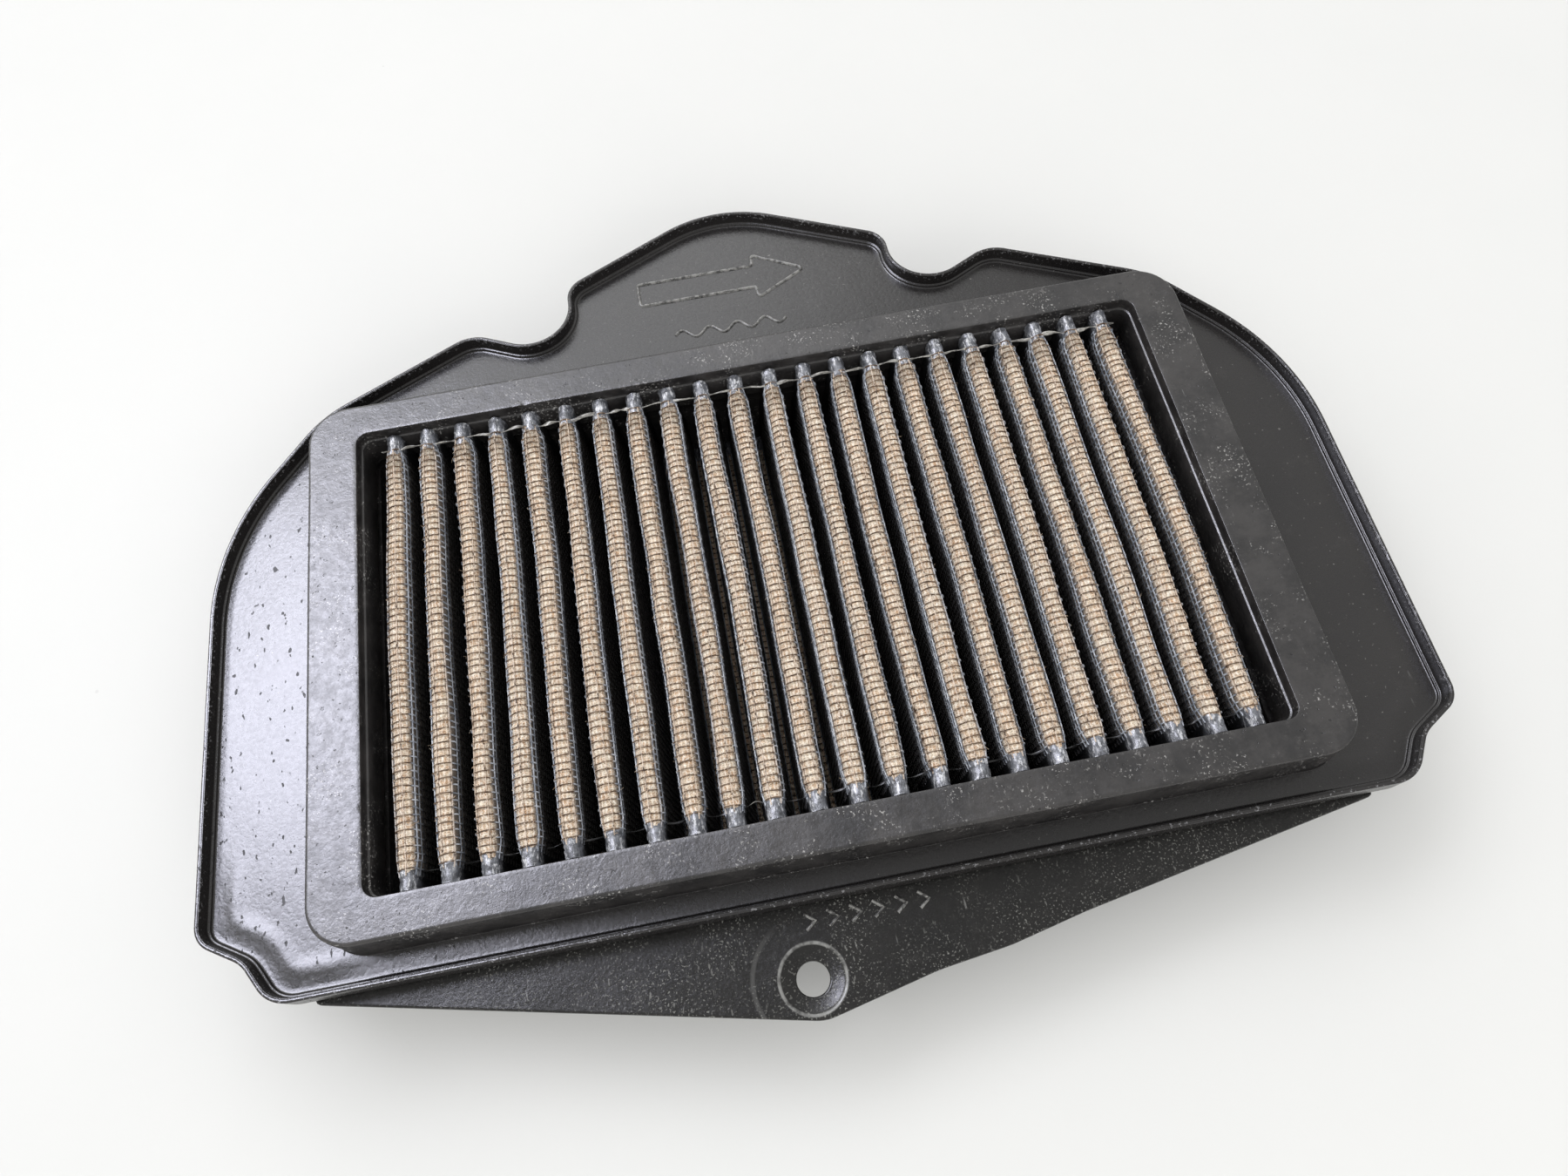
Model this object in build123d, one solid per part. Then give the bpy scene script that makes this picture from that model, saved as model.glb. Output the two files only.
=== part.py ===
from build123d import *

import os
from math import acos, atan2, cos, hypot, radians, sin, tan

# Pleated panel air filter for a motorcycle air box.
# All lengths are in millimetres.  +X runs along the row of pleats, +Y points at
# the wide back tab and +Z at the side that faces the air box lid.

# Heights above the face that the filter rests on
total_height = 36.0
collar_rise = 11.4  # upper collar above the tray floor
tray_thickness = 2.4
rim_rise = 3.7  # rim above the tray floor
tab_drop = 4.0  # top of the front tab plate below the tray floor
tab_thickness = 3.0
tray_floor = total_height - collar_rise
tray_underside = tray_floor - tray_thickness
tab_top = tray_floor - tab_drop
tab_underside = tab_top - tab_thickness

# Collars round the pleat pack
collar_length = 220.0
collar_width = 129.3
collar_corner = 9.5
collar_draft = 3.0  # degrees
collar_edge_round = 0.8
bore_length = 195.5
bore_width = 111.1
bore_corner = 2.5
mouth_recess = 0.5  # the bore is wider by this near its mouth, on each side
mouth_depth = 3.2

# Tray outline: corner x, corner y and rounding, right half from the back tab round
# to the front edge.  The left half mirrors it.
tab_peak = (0, 118.1, 35)
half_outline = [
    (44, 97.6, 7),
    (44, 74.4, 11),
    (70.5, 87.25, 10),
    (110, 69.1, 30),
    (136.4, 37.6, 60),
    (136.4, -56.9, 6),
    (126.5, -62.8, 8),
    (120.7, -72, 8),
]
rim_width = 1.0
bead_width = 0.8
bead_height = 0.35

# Front tab plate
bolt_x = -12.1
bolt_y = -86.5
bolt_hole_radius = 3.5
bolt_seat_radius = 7.0
bolt_seat_depth = 0.5
tab_end_x = 116.0
tab_end_y = -72.2
tab_edge = [
    (-11, -94.9, 10),
    (14, -89.6, 40),
    (30, -87.6, 40),
    (47, -84.0, 40),
]
land_depth = 4.0
land_half_length = 100.0

# Pleat pack
pleat_count = 22
pleat_pitch = 8.61
pleat_clearance = 1.7  # pack below the collar's top face and above its underside
screen_thickness = 0.5
gauze_thickness = 0.27
gauze_layers = 4
fold_radius = 1.45  # middle of the stack, round each fold
stack_thickness = 2 * screen_thickness + gauze_layers * gauze_thickness

# Pinched and potted pleat ends
end_length = 5.0
end_thickness = 0.9
end_fold_radius = 1.05

# Pleat threads
thread_radius = 0.35
thread_drop = 1.3  # centre of the rear thread below the pleat tops
front_thread_drop = 2.6
thread_inset = 4.1  # from the collar's inner wall
thread_overhang = 2.6  # past the middle of the first and last pleats

# Beads that bond the sheet's two side edges to the collars
edge_bead = 2.2

# Raised airflow arrow on the back tab
arrow_length = 46.0
arrow_head = 14.0
arrow_width = 15.0
arrow_shaft = 7.4
arrow_line = 1.1
arrow_height = 0.45
arrow_middle = (-2, 93.5)


def rounded_face(corners):
    """A flat face whose corners are (x, y, rounding), each with its own rounding."""
    points = [(x, y) for x, y, _ in corners]
    radii = [radius for _, _, radius in corners]
    return make_face(FilletPolyline(*points, radius=radii, close=True))


def tray_outline():
    mirrored = [(-x, y, radius) for x, y, radius in reversed(half_outline)]
    return rounded_face([tab_peak] + half_outline + mirrored)


def block(length, width, corner, bottom, top):
    """A rounded rectangular block centred on the pleat pack."""
    face = RectangleRounded(length, width, corner)
    return extrude(Pos(0, 0, bottom) * face, top - bottom)


def pack_bore(bottom, top):
    return block(bore_length, bore_width, bore_corner, bottom, top)


def flange_tray():
    """Tray with a raised rim round its edge, a bead at the rim's foot and an arrow."""
    outline = tray_outline()
    inside_rim = offset(outline, -rim_width)
    inside_bead = offset(outline, -rim_width - bead_width)
    plate = extrude(Pos(0, 0, tray_underside) * outline, tray_thickness)
    rim = extrude(Pos(0, 0, tray_floor) * (outline - inside_rim), rim_rise)
    bead = extrude(Pos(0, 0, tray_floor) * (inside_rim - inside_bead), bead_height)
    return plate + rim + bead + airflow_arrow() - pack_bore(tray_underside, tray_floor)


def airflow_arrow():
    """Outline of a plain block arrow, raised from the tray floor."""
    tip = arrow_length / 2
    neck = tip - arrow_head
    corners = [
        (-tip, arrow_shaft / 2),
        (neck, arrow_shaft / 2),
        (neck, arrow_width / 2),
        (tip, 0),
        (neck, -arrow_width / 2),
        (neck, -arrow_shaft / 2),
        (-tip, -arrow_shaft / 2),
    ]
    shape = make_face(Polyline(*corners, close=True))
    line = shape - offset(shape, -arrow_line)
    return extrude(Pos(*arrow_middle, tray_floor) * line, arrow_height)


def upper_collar():
    """Drafted frame round the pleats, standing on the tray floor."""
    spread = 2 * collar_rise * tan(radians(collar_draft))
    foot = RectangleRounded(
        collar_length + spread, collar_width + spread, collar_corner + spread / 2
    )
    body = extrude(Pos(0, 0, tray_floor) * foot, collar_rise, taper=collar_draft)
    top_edges = body.edges().group_by(Axis.Z)[-1]
    body = fillet(top_edges, collar_edge_round)
    mouth = block(
        bore_length + 2 * mouth_recess,
        bore_width + 2 * mouth_recess,
        bore_corner + mouth_recess,
        total_height - mouth_depth,
        total_height,
    )
    return body - pack_bore(tray_floor, total_height) - mouth


def lower_collar():
    """Frame under the tray that the filter stands on."""
    top = Pos(0, 0, tray_underside) * RectangleRounded(
        collar_length, collar_width, collar_corner
    )
    body = extrude(top, -tray_underside, taper=collar_draft / 2)
    bottom_edges = body.edges().group_by(Axis.Z)[0]
    body = fillet(bottom_edges, collar_edge_round)
    return body - pack_bore(0, tray_underside)


def tab_plate():
    """Front plate under the tray with the bolt hole in its low point."""
    back_y = -collar_width / 2
    corners = [(-tab_end_x, tab_end_y, 0.5)] + tab_edge
    corners += [
        (tab_end_x, tab_end_y, 0.5),
        (land_half_length, back_y, 0.5),
        (-land_half_length, back_y, 0.5),
    ]
    plate = extrude(Pos(0, 0, tab_underside) * rounded_face(corners), tab_thickness)
    land = Pos(0, back_y - land_depth / 2, tab_top) * Box(
        2 * land_half_length,
        land_depth,
        tray_underside - tab_top,
        align=(Align.CENTER, Align.CENTER, Align.MIN),
    )
    hole = Pos(bolt_x, bolt_y, tab_underside) * Cylinder(
        bolt_hole_radius, tab_thickness, align=(Align.CENTER, Align.CENTER, Align.MIN)
    )
    seat = Pos(bolt_x, bolt_y, tab_top - bolt_seat_depth) * Cylinder(
        bolt_seat_radius, bolt_seat_depth, align=(Align.CENTER, Align.CENTER, Align.MIN)
    )
    return plate + land - hole - seat


class PleatLine:
    """The folded line of the pack: equal arcs joined by straight, slightly leaning legs.

    It runs along X and is described in the XZ plane.  side moves the line towards the
    lid (positive) or the base (negative), so that nested layers share their centres.
    """

    def __init__(self, radius, thickness):
        self.radius = radius
        self.crest_z = total_height - pleat_clearance - radius - thickness / 2
        self.valley_z = pleat_clearance + radius + thickness / 2
        across = pleat_pitch / 2
        down = self.crest_z - self.valley_z
        self.lean = acos(2 * radius / hypot(across, down)) - atan2(down, across)

    def fold(self, x, z, radius, up):
        """One fold's arc, from its left end over its far point to its right end."""
        reach = radius * cos(self.lean)
        rise = up * radius * sin(self.lean)
        ends = [(x - reach, z + rise), (x, z + up * radius), (x + reach, z + rise)]
        return ThreePointArc(*[(px, 0, pz) for px, pz in ends])

    def edges(self, side):
        """Every edge of the line at this side, from the left wall to the right wall."""
        folds = []
        for number in range(-1, 2 * pleat_count):
            x = (number - pleat_count + 1) * pleat_pitch / 2
            is_crest = number % 2 == 0
            z = self.crest_z if is_crest else self.valley_z
            radius = self.radius + side if is_crest else self.radius - side
            folds.append(self.fold(x, z, radius, 1 if is_crest else -1))
        folds[0] = self.half_fold(folds[0], 0.5, 1)
        folds[-1] = self.half_fold(folds[-1], 0, 0.5)
        wall = bore_length / 2
        line = [Line((-wall, 0, (folds[0] @ 0).Z), folds[0] @ 0)]
        for this, following in zip(folds, folds[1:]):
            line += [this, Line(this @ 1, following @ 0)]
        line += [folds[-1], Line(folds[-1] @ 1, (wall, 0, (folds[-1] @ 1).Z))]
        return line

    def half_fold(self, arc, start, end):
        middle = (start + end) / 2
        return ThreePointArc(arc @ start, arc @ middle, arc @ end)

    def band(self, low_side, high_side, length, start_y):
        """The solid between two sides of the line, running from start_y along Y."""
        high = self.edges(high_side)
        low = self.edges(low_side)
        closing = [Line(high[0] @ 0, low[0] @ 0), Line(high[-1] @ 1, low[-1] @ 1)]
        section = make_face(high + low + closing)
        return extrude(Pos(0, start_y, 0) * section, length, dir=(0, 1, 0))


def media_layer(low_side, thickness):
    """One folded sheet between the two potted ends."""
    line = PleatLine(fold_radius, stack_thickness)
    start_y = -bore_width / 2 + end_length
    return line.band(low_side, low_side + thickness, bore_width - 2 * end_length, start_y)


def end_seal(start_y, thread):
    """Pinched pleat ends soaked in resin, with the thread's hole through them."""
    line = PleatLine(end_fold_radius, end_thickness)
    strip = line.band(-end_thickness / 2, end_thickness / 2, end_length, start_y)
    return (strip & pack_bore(0, total_height)) - thread


def pleat_thread(y, drop):
    length = (pleat_count - 1) * pleat_pitch + 2 * thread_overhang
    z = total_height - pleat_clearance - drop
    return Pos(0, y, z) * Rot(0, 90, 0) * Cylinder(thread_radius, length)


def edge_seal(direction):
    """Quarter-round bead in the corner of the sheet's edge and the lower collar."""
    wall = direction * bore_length / 2
    flap_top = pleat_clearance + stack_thickness
    inner = wall - direction * edge_bead
    halfway = edge_bead * (1 - cos(radians(45)))
    profile = [
        Line((wall, 0, flap_top), (inner, 0, flap_top)),
        ThreePointArc(
            (inner, 0, flap_top),
            (wall - direction * halfway, 0, flap_top + halfway),
            (wall, 0, flap_top + edge_bead),
        ),
        Line((wall, 0, flap_top + edge_bead), (wall, 0, flap_top)),
    ]
    start_y = -bore_width / 2 + end_length
    face = Pos(0, start_y, 0) * make_face(profile)
    return extrude(face, bore_width - 2 * end_length, dir=(0, 1, 0))


def build():
    """Every sub-part, by name, about the middle of the pleat pack."""
    wall_y = bore_width / 2
    rear_thread = pleat_thread(wall_y - thread_inset, thread_drop)
    front_thread = pleat_thread(-wall_y + thread_inset, front_thread_drop)
    parts = {
        "flange_tray": flange_tray(),
        "upper_collar": upper_collar(),
        "lower_collar": lower_collar(),
        "tab_plate": tab_plate(),
        "rear_pleat_thread": rear_thread,
        "front_pleat_thread": front_thread,
        "rear_end_seal": end_seal(wall_y - end_length, rear_thread),
        "front_end_seal": end_seal(-wall_y, front_thread),
        "left_edge_seal": edge_seal(-1),
        "right_edge_seal": edge_seal(1),
    }
    side = -stack_thickness / 2
    parts["lower_wire_screen"] = media_layer(side, screen_thickness)
    side += screen_thickness
    for number in range(1, gauze_layers + 1):
        parts[f"gauze_layer_{number}"] = media_layer(side, gauze_thickness)
        side += gauze_thickness
    parts["upper_wire_screen"] = media_layer(side, screen_thickness)
    return parts


def main():
    parts = build()
    bounds = Compound(list(parts.values())).bounding_box()
    middle = bounds.center()
    os.makedirs("parts", exist_ok=True)
    for name, shape in parts.items():
        export_step(Pos(-middle.X, -middle.Y, 0) * shape, f"parts/{name}.step")


main()
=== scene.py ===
from math import acos, atan2, ceil, copysign, cos, hypot, pi, radians, sin, sqrt, tan

import bpy
import numpy as np
from mathutils import Euler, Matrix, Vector
from mathutils.geometry import delaunay_2d_cdt


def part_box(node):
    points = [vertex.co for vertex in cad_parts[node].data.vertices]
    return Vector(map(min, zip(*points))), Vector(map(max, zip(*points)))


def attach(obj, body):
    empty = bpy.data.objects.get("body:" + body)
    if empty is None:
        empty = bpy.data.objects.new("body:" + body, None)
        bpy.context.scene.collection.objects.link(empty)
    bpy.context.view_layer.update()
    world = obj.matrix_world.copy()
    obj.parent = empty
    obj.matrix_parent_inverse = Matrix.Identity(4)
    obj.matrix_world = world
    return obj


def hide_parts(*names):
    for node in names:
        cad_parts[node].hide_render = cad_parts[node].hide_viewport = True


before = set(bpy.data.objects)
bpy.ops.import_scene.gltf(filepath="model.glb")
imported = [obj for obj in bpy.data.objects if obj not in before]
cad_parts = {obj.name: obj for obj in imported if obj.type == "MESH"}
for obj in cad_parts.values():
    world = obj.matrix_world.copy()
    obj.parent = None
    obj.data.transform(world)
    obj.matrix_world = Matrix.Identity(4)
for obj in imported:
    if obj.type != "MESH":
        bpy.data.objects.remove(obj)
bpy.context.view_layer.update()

# Shapes are worked out in millimetres about the middle of the pleat pack, and
# add_piece moves them into the frame, in metres.
MM = 0.001
collar_low, collar_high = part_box("upper_collar")
tray_low, tray_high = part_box("flange_tray")
tab_low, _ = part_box("tab_plate")
seal_low, seal_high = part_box("rear_end_seal")
_, screen_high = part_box("upper_wire_screen")

middle_y = (collar_low.y + collar_high.y) / 2 / MM
total_height = collar_high.z / MM
tray_floor = collar_low.z / MM
tray_underside = tray_low.z / MM
rim_top = tray_high.z / MM
tab_underside = tab_low.z / MM
tab_thickness = 3.0
tab_top = tab_underside + tab_thickness

# Collars
collar_length, collar_width, collar_corner = 220.0, 129.3, 9.5
collar_edge_radius = 0.8
collar_slope = tan(radians(3))
lower_slope = tan(radians(1.5))
bore_length = (seal_high.x - seal_low.x) / MM
bore_width, bore_corner = 111.1, 2.5
mouth_recess, mouth_depth = 0.5, 3.2

# Tray outline: corner x, corner y and rounding, clockwise from the back tab's peak
tab_peak = (0, 118.1, 35)
half_outline = [
    (44, 97.6, 7),
    (44, 74.4, 11),
    (70.5, 87.25, 10),
    (110, 69.1, 30),
    (136.4, 37.6, 60),
    (136.4, -56.9, 6),
    (126.5, -62.8, 8),
    (120.7, -72, 8),
]

# Front tab plate outline, clockwise from its left end, and its bolt hole
tab_outline = [
    (-100, -65.2, 3),
    (100, -65.2, 3),
    (118, -71.8, 1.3),
    (47, -84.0, 40),
    (30, -87.6, 40),
    (14, -89.6, 40),
    (-11, -94.9, 10),
    (-118, -71.8, 1.3),
]
bolt_x, bolt_y = -12.1, -86.5
bolt_hole_radius, bolt_seat_radius, bolt_seat_depth = 3.5, 7.0, 0.5
bolt_pad_radius = 12.5
bolt_ring_points = 72

# Pleats
pleat_count, pleat_pitch = 22, 8.61
pleat_clearance = total_height - screen_high.z / MM
pleat_top = total_height - pleat_clearance
fold_radius = 1.45
screen_thickness, gauze_thickness, gauze_layers = 0.5, 0.27, 4
stack_thickness = 2 * screen_thickness + gauze_layers * gauze_thickness
media_end = bore_width / 2 - 5.0
wall_y = bore_width / 2

# Woven wire
wire_radius = 0.165
wire_pitch_y = 1.6
wire_pitch_round = 1.72
screen_middle = stack_thickness / 2 - screen_thickness / 2
weave_depth = 0.16

# Widths of the folds against the folded line: the screen stands off the gauze at the flanks
screen_width, gauze_width = 1.07, 1.0


# ---------------------------------------------------------------- shapes

def unit(vector):
    return vector / np.linalg.norm(vector)


def ripple(points, scale, seed, waves=14):
    """Smooth seeded bumps of about unit height, with wavelengths about scale."""
    rng = np.random.default_rng(seed)
    points = np.asarray(points, float)
    heading = rng.normal(size=(waves, points.shape[-1]))
    heading /= np.linalg.norm(heading, axis=1, keepdims=True)
    length = scale * rng.uniform(0.6, 1.7, waves)
    phase = rng.uniform(0, 2 * pi, waves)
    angle = points @ (heading / length[:, None]).T * 2 * pi + phase
    return np.sin(angle).sum(-1) * sqrt(2 / waves) / 1.4


def rounded_outline(corners, spacing):
    """Points and outward normals round a clockwise outline of (x, y, rounding) corners."""
    points, normals = [], []
    count = len(corners)
    for number in range(count):
        before, corner, after = [
            np.array(corners[(number + step) % count][:2], float) for step in (-1, 0, 1)
        ]
        arriving, leaving = unit(corner - before), unit(after - corner)
        cross = arriving[0] * leaving[1] - arriving[1] * leaving[0]
        turn = atan2(cross, arriving @ leaving)
        radius = corners[number][2]
        start = corner - arriving * radius * tan(abs(turn) / 2)
        outward = np.array([-arriving[1], arriving[0]])
        centre = start + copysign(radius, turn) * outward
        if points:
            add_straight(points, normals, start, spacing)
        steps = max(3, ceil(abs(turn) * radius / spacing))
        for step in range(steps + 1):
            angle = turn * step / steps
            spin = np.array([[cos(angle), -sin(angle)], [sin(angle), cos(angle)]])
            points.append(centre + spin @ (start - centre))
            normals.append(spin @ outward)
    add_straight(points, normals, points[0], spacing)
    return np.array(points), np.array(normals)


def add_straight(points, normals, end, spacing):
    """Adds the points between the last one and end, neither of them included."""
    start, normal = points[-1], normals[-1]
    steps = ceil(np.linalg.norm(end - start) / spacing)
    for step in range(1, steps):
        points.append(start + (end - start) * step / steps)
        normals.append(normal)


def inside(points, outline):
    """Which points lie inside a closed outline."""
    x, y = points[:, 0, None], points[:, 1, None]
    x1, y1 = outline[:, 0], outline[:, 1]
    x2, y2 = np.roll(x1, -1), np.roll(y1, -1)
    spans = (y1 > y) != (y2 > y)
    rise = np.where(y2 == y1, 1e-9, y2 - y1)
    crossing = x1 + (y - y1) / rise * (x2 - x1)
    return (spans & (x < crossing)).sum(1) % 2 == 1


def flat_fill(rings, spacing):
    """Triangles that fill the first ring outside the others, with an even grid of points.

    Returns the grid's points, to go after the rings' own points, and the triangles.
    """
    low, high = rings[0].min(0), rings[0].max(0)
    across = np.arange(low[0] + spacing / 2, high[0], spacing)
    along = np.arange(low[1] + spacing / 2, high[1], spacing * 0.866)
    grid = np.array([
        (x + (row % 2) * spacing / 2, y) for row, y in enumerate(along) for x in across
    ])
    keep = inside(grid, rings[0])
    for ring in rings[1:]:
        keep &= ~inside(grid, ring)
    edge_points = np.concatenate(rings)
    gap = np.array([np.min(np.abs(edge_points - point).sum(1)) for point in grid])
    grid = grid[keep & (gap > spacing * 0.6)]
    edges, first = [], 0
    for ring in rings:
        count = len(ring)
        edges += [(first + k, first + (k + 1) % count) for k in range(count)]
        first += count
    flat = [Vector(point) for point in np.concatenate([edge_points, grid])]
    made = delaunay_2d_cdt(flat, edges, [], 0, 1e-6, False)
    corners = np.array([tuple(point) for point in made[0]])
    triangles = np.array(made[2])
    middles = corners[triangles].mean(1)
    keep = inside(middles, rings[0])
    for ring in rings[1:]:
        keep &= ~inside(middles, ring)
    if len(corners) != len(flat):
        raise ValueError("a fill moved or merged its points")
    return grid, triangles[keep]


def ring_quads(rows, columns, first=0, wrap=True):
    """Quads between rows of points that each have the same number of columns."""
    row, column = np.meshgrid(np.arange(rows - 1), np.arange(columns - (not wrap)), indexing="ij")
    row, column = row.ravel(), column.ravel()
    beside = (column + 1) % columns
    a, b = row * columns + column, row * columns + beside
    return np.stack([a, b, b + columns, a + columns], 1) + first


def tubes(paths, across, up, radius, sides=4):
    """Tubes round many paths at once.

    paths is (tube, point, 3); across and up are each point's two directions in the
    tube's section.  Returns the points and the quads, ends closed.
    """
    tube_count, length, _ = paths.shape
    angles = 2 * pi * (np.arange(sides) + 0.5) / sides
    radius = np.broadcast_to(radius, (tube_count, length))[..., None, None]
    section = (
        np.cos(angles)[:, None] * across[..., None, :]
        + np.sin(angles)[:, None] * up[..., None, :]
    )
    points = (paths[..., None, :] + radius * section).reshape(-1, 3)
    quads = ring_quads(length, sides)
    block = length * sides
    starts = np.arange(tube_count)[:, None, None] * block
    faces = (quads[None] + starts).reshape(-1, 4).tolist()
    for first in range(0, tube_count * block, block):
        faces.append([first + k for k in reversed(range(sides))])
        faces.append([first + block - sides + k for k in range(sides)])
    return points, faces


def add_piece(name, points, faces, material, replaces=(), uv=None):
    """A mesh piece of the object, from points in millimetres about the pack's middle."""
    mesh = bpy.data.meshes.new(name)
    placed = (np.asarray(points, float) + (0, middle_y, 0)) * MM
    faces = faces if isinstance(faces, list) else faces.tolist()
    mesh.from_pydata(placed.tolist(), [], faces)
    mesh.validate()
    if uv is not None:
        layer = mesh.uv_layers.new(name="length")
        corners = np.zeros(len(mesh.loops), int)
        mesh.loops.foreach_get("vertex_index", corners)
        layer.data.foreach_set("uv", np.asarray(uv, float)[corners].ravel())
    mesh.polygons.foreach_set("use_smooth", [True] * len(mesh.polygons))
    mesh.set_sharp_from_angle(angle=radians(50))
    piece = bpy.data.objects.new(name, mesh)
    bpy.context.scene.collection.objects.link(piece)
    mesh.materials.append(material)
    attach(piece, "root")
    if replaces:
        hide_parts(*replaces)
    return piece


# ---------------------------------------------------------------- materials

# near-black, the painted shade in the pits
pit_shade_black = (0.004, 0.004, 0.004)
fleck_pale = (0.45, 0.44, 0.42)
# pale grey for the painted highlights on the tab
highlight_grey = (0.40, 0.40, 0.39)


class Shader:
    """A material's node tree, with short calls for the nodes that are used here."""

    def __init__(self, name):
        self.material = bpy.data.materials.new(name)
        self.material.use_nodes = True
        self.tree = self.material.node_tree
        self.surface = self.tree.nodes["Principled BSDF"]
        self.place = self.tree.nodes.new("ShaderNodeTexCoord").outputs["Object"]

    def put(self, value, socket):
        if isinstance(value, bpy.types.NodeSocket):
            self.tree.links.new(value, socket)
        else:
            socket.default_value = value

    def set(self, **values):
        names = {
            "colour": "Base Color", "roughness": "Roughness", "normal": "Normal",
            "specular": "Specular IOR Level", "coat": "Coat Weight",
            "coat_roughness": "Coat Roughness", "sheen": "Sheen Weight",
            "sheen_roughness": "Sheen Roughness",
        }
        for key, value in values.items():
            self.put(value, self.surface.inputs[names[key]])
        return self.material

    def stretched(self, x, y, z, turn=0.0):
        node = self.tree.nodes.new("ShaderNodeMapping")
        self.put(self.place, node.inputs["Vector"])
        node.inputs["Scale"].default_value = (x, y, z)
        node.inputs["Rotation"].default_value = (0, 0, radians(turn))
        return node.outputs["Vector"]

    def noise(self, size_mm, detail=2.0, rough=0.5, place=None):
        """Noise from 0 to 1 with features of about size_mm."""
        node = self.tree.nodes.new("ShaderNodeTexNoise")
        self.put(self.place if place is None else place, node.inputs["Vector"])
        node.inputs["Scale"].default_value = 1 / (size_mm * MM)
        node.inputs["Detail"].default_value = detail
        node.inputs["Roughness"].default_value = rough
        return node.outputs["Fac"]

    def cells(self, size_mm):
        """Distance from the nearest of scattered points, about size_mm apart."""
        node = self.tree.nodes.new("ShaderNodeTexVoronoi")
        self.put(self.place, node.inputs["Vector"])
        node.inputs["Scale"].default_value = 1 / (size_mm * MM)
        return node.outputs["Distance"]

    def range(self, value, low, high, out_low=0.0, out_high=1.0):
        """Spreads value's range low to high over out_low to out_high, and clamps it."""
        node = self.tree.nodes.new("ShaderNodeMapRange")
        node.interpolation_type = "SMOOTHSTEP"
        self.put(value, node.inputs["Value"])
        for key, number in zip(
            ("From Min", "From Max", "To Min", "To Max"), (low, high, out_low, out_high)
        ):
            node.inputs[key].default_value = number
        return node.outputs["Result"]

    def math(self, operation, a, b=0.0):
        node = self.tree.nodes.new("ShaderNodeMath")
        node.operation = operation
        self.put(a, node.inputs[0])
        self.put(b, node.inputs[1])
        return node.outputs["Value"]

    def mix(self, share, a, b):
        """Colour a where share is 0 and b where it is 1."""
        node = self.tree.nodes.new("ShaderNodeMix")
        node.data_type = "RGBA"
        self.put(share, node.inputs["Factor"])
        for key, colour in (("A", a), ("B", b)):
            socket = [s for s in node.inputs if s.name == key and s.type == "RGBA"][0]
            self.put(colour if isinstance(colour, bpy.types.NodeSocket) else (*colour, 1), socket)
        return [s for s in node.outputs if s.type == "RGBA"][0]

    def over(self, base, share, strength, colour):
        """Colour laid on base where share is 1, at this strength."""
        return self.mix(self.math("MULTIPLY", share, strength), base, colour)

    def bump(self, height, depth_mm, below=None):
        node = self.tree.nodes.new("ShaderNodeBump")
        node.inputs["Distance"].default_value = depth_mm * MM
        self.put(height, node.inputs["Height"])
        if below is not None:
            self.put(below, node.inputs["Normal"])
        return node.outputs["Normal"]

    def axis(self, name, place=None):
        node = self.tree.nodes.new("ShaderNodeSeparateXYZ")
        self.put(self.place if place is None else place, node.inputs[0])
        return node.outputs[name]

    def uv(self):
        node = self.tree.nodes.new("ShaderNodeUVMap")
        node.uv_map = "length"
        return node.outputs["UV"]

    def reach_from(self, x_mm, y_mm):
        """Distance seen from above, in millimetres, from a place on the tray."""
        flat = self.tree.nodes.new("ShaderNodeCombineXYZ")
        self.put(self.axis("X"), flat.inputs["X"])
        self.put(self.axis("Y"), flat.inputs["Y"])
        node = self.tree.nodes.new("ShaderNodeVectorMath")
        node.operation = "DISTANCE"
        self.put(flat.outputs["Vector"], node.inputs[0])
        node.inputs[1].default_value = (x_mm * MM, (y_mm + middle_y) * MM, 0)
        return self.math("MULTIPLY", node.outputs["Value"], 1 / MM)

    def band(self, value, middle, half_width):
        """1 where value is at middle, fading to 0 at half_width from it."""
        away = self.math("ABSOLUTE", self.math("SUBTRACT", value, middle))
        return self.range(away, half_width, half_width * 0.3)

    def outer_height(self):
        """A point's height, or its mirror image's where it is in the pack's lower half."""
        height = self.axis("Z")
        return self.math("MAXIMUM", height, self.math("SUBTRACT", total_height * MM, height))


def flecks(shader, size_mm, share, place=None):
    """Scattered irregular specks; a larger share gives more and bigger ones."""
    speck = shader.noise(size_mm, 2.0, 0.6, place)
    return shader.range(speck, 0.70 - share, 0.75 - share)


def hairlines(shader, turn, share):
    """Short fine scratches that mostly run one way, in patches."""
    line = shader.noise(0.9, 2.0, 0.6, shader.stretched(1, 0.09, 1, turn))
    patch = shader.noise(16, 3.0, 0.6)
    return shader.math(
        "MULTIPLY", shader.range(line, 0.72 - share, 0.78 - share), shader.range(patch, 0.5, 0.64)
    )


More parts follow.
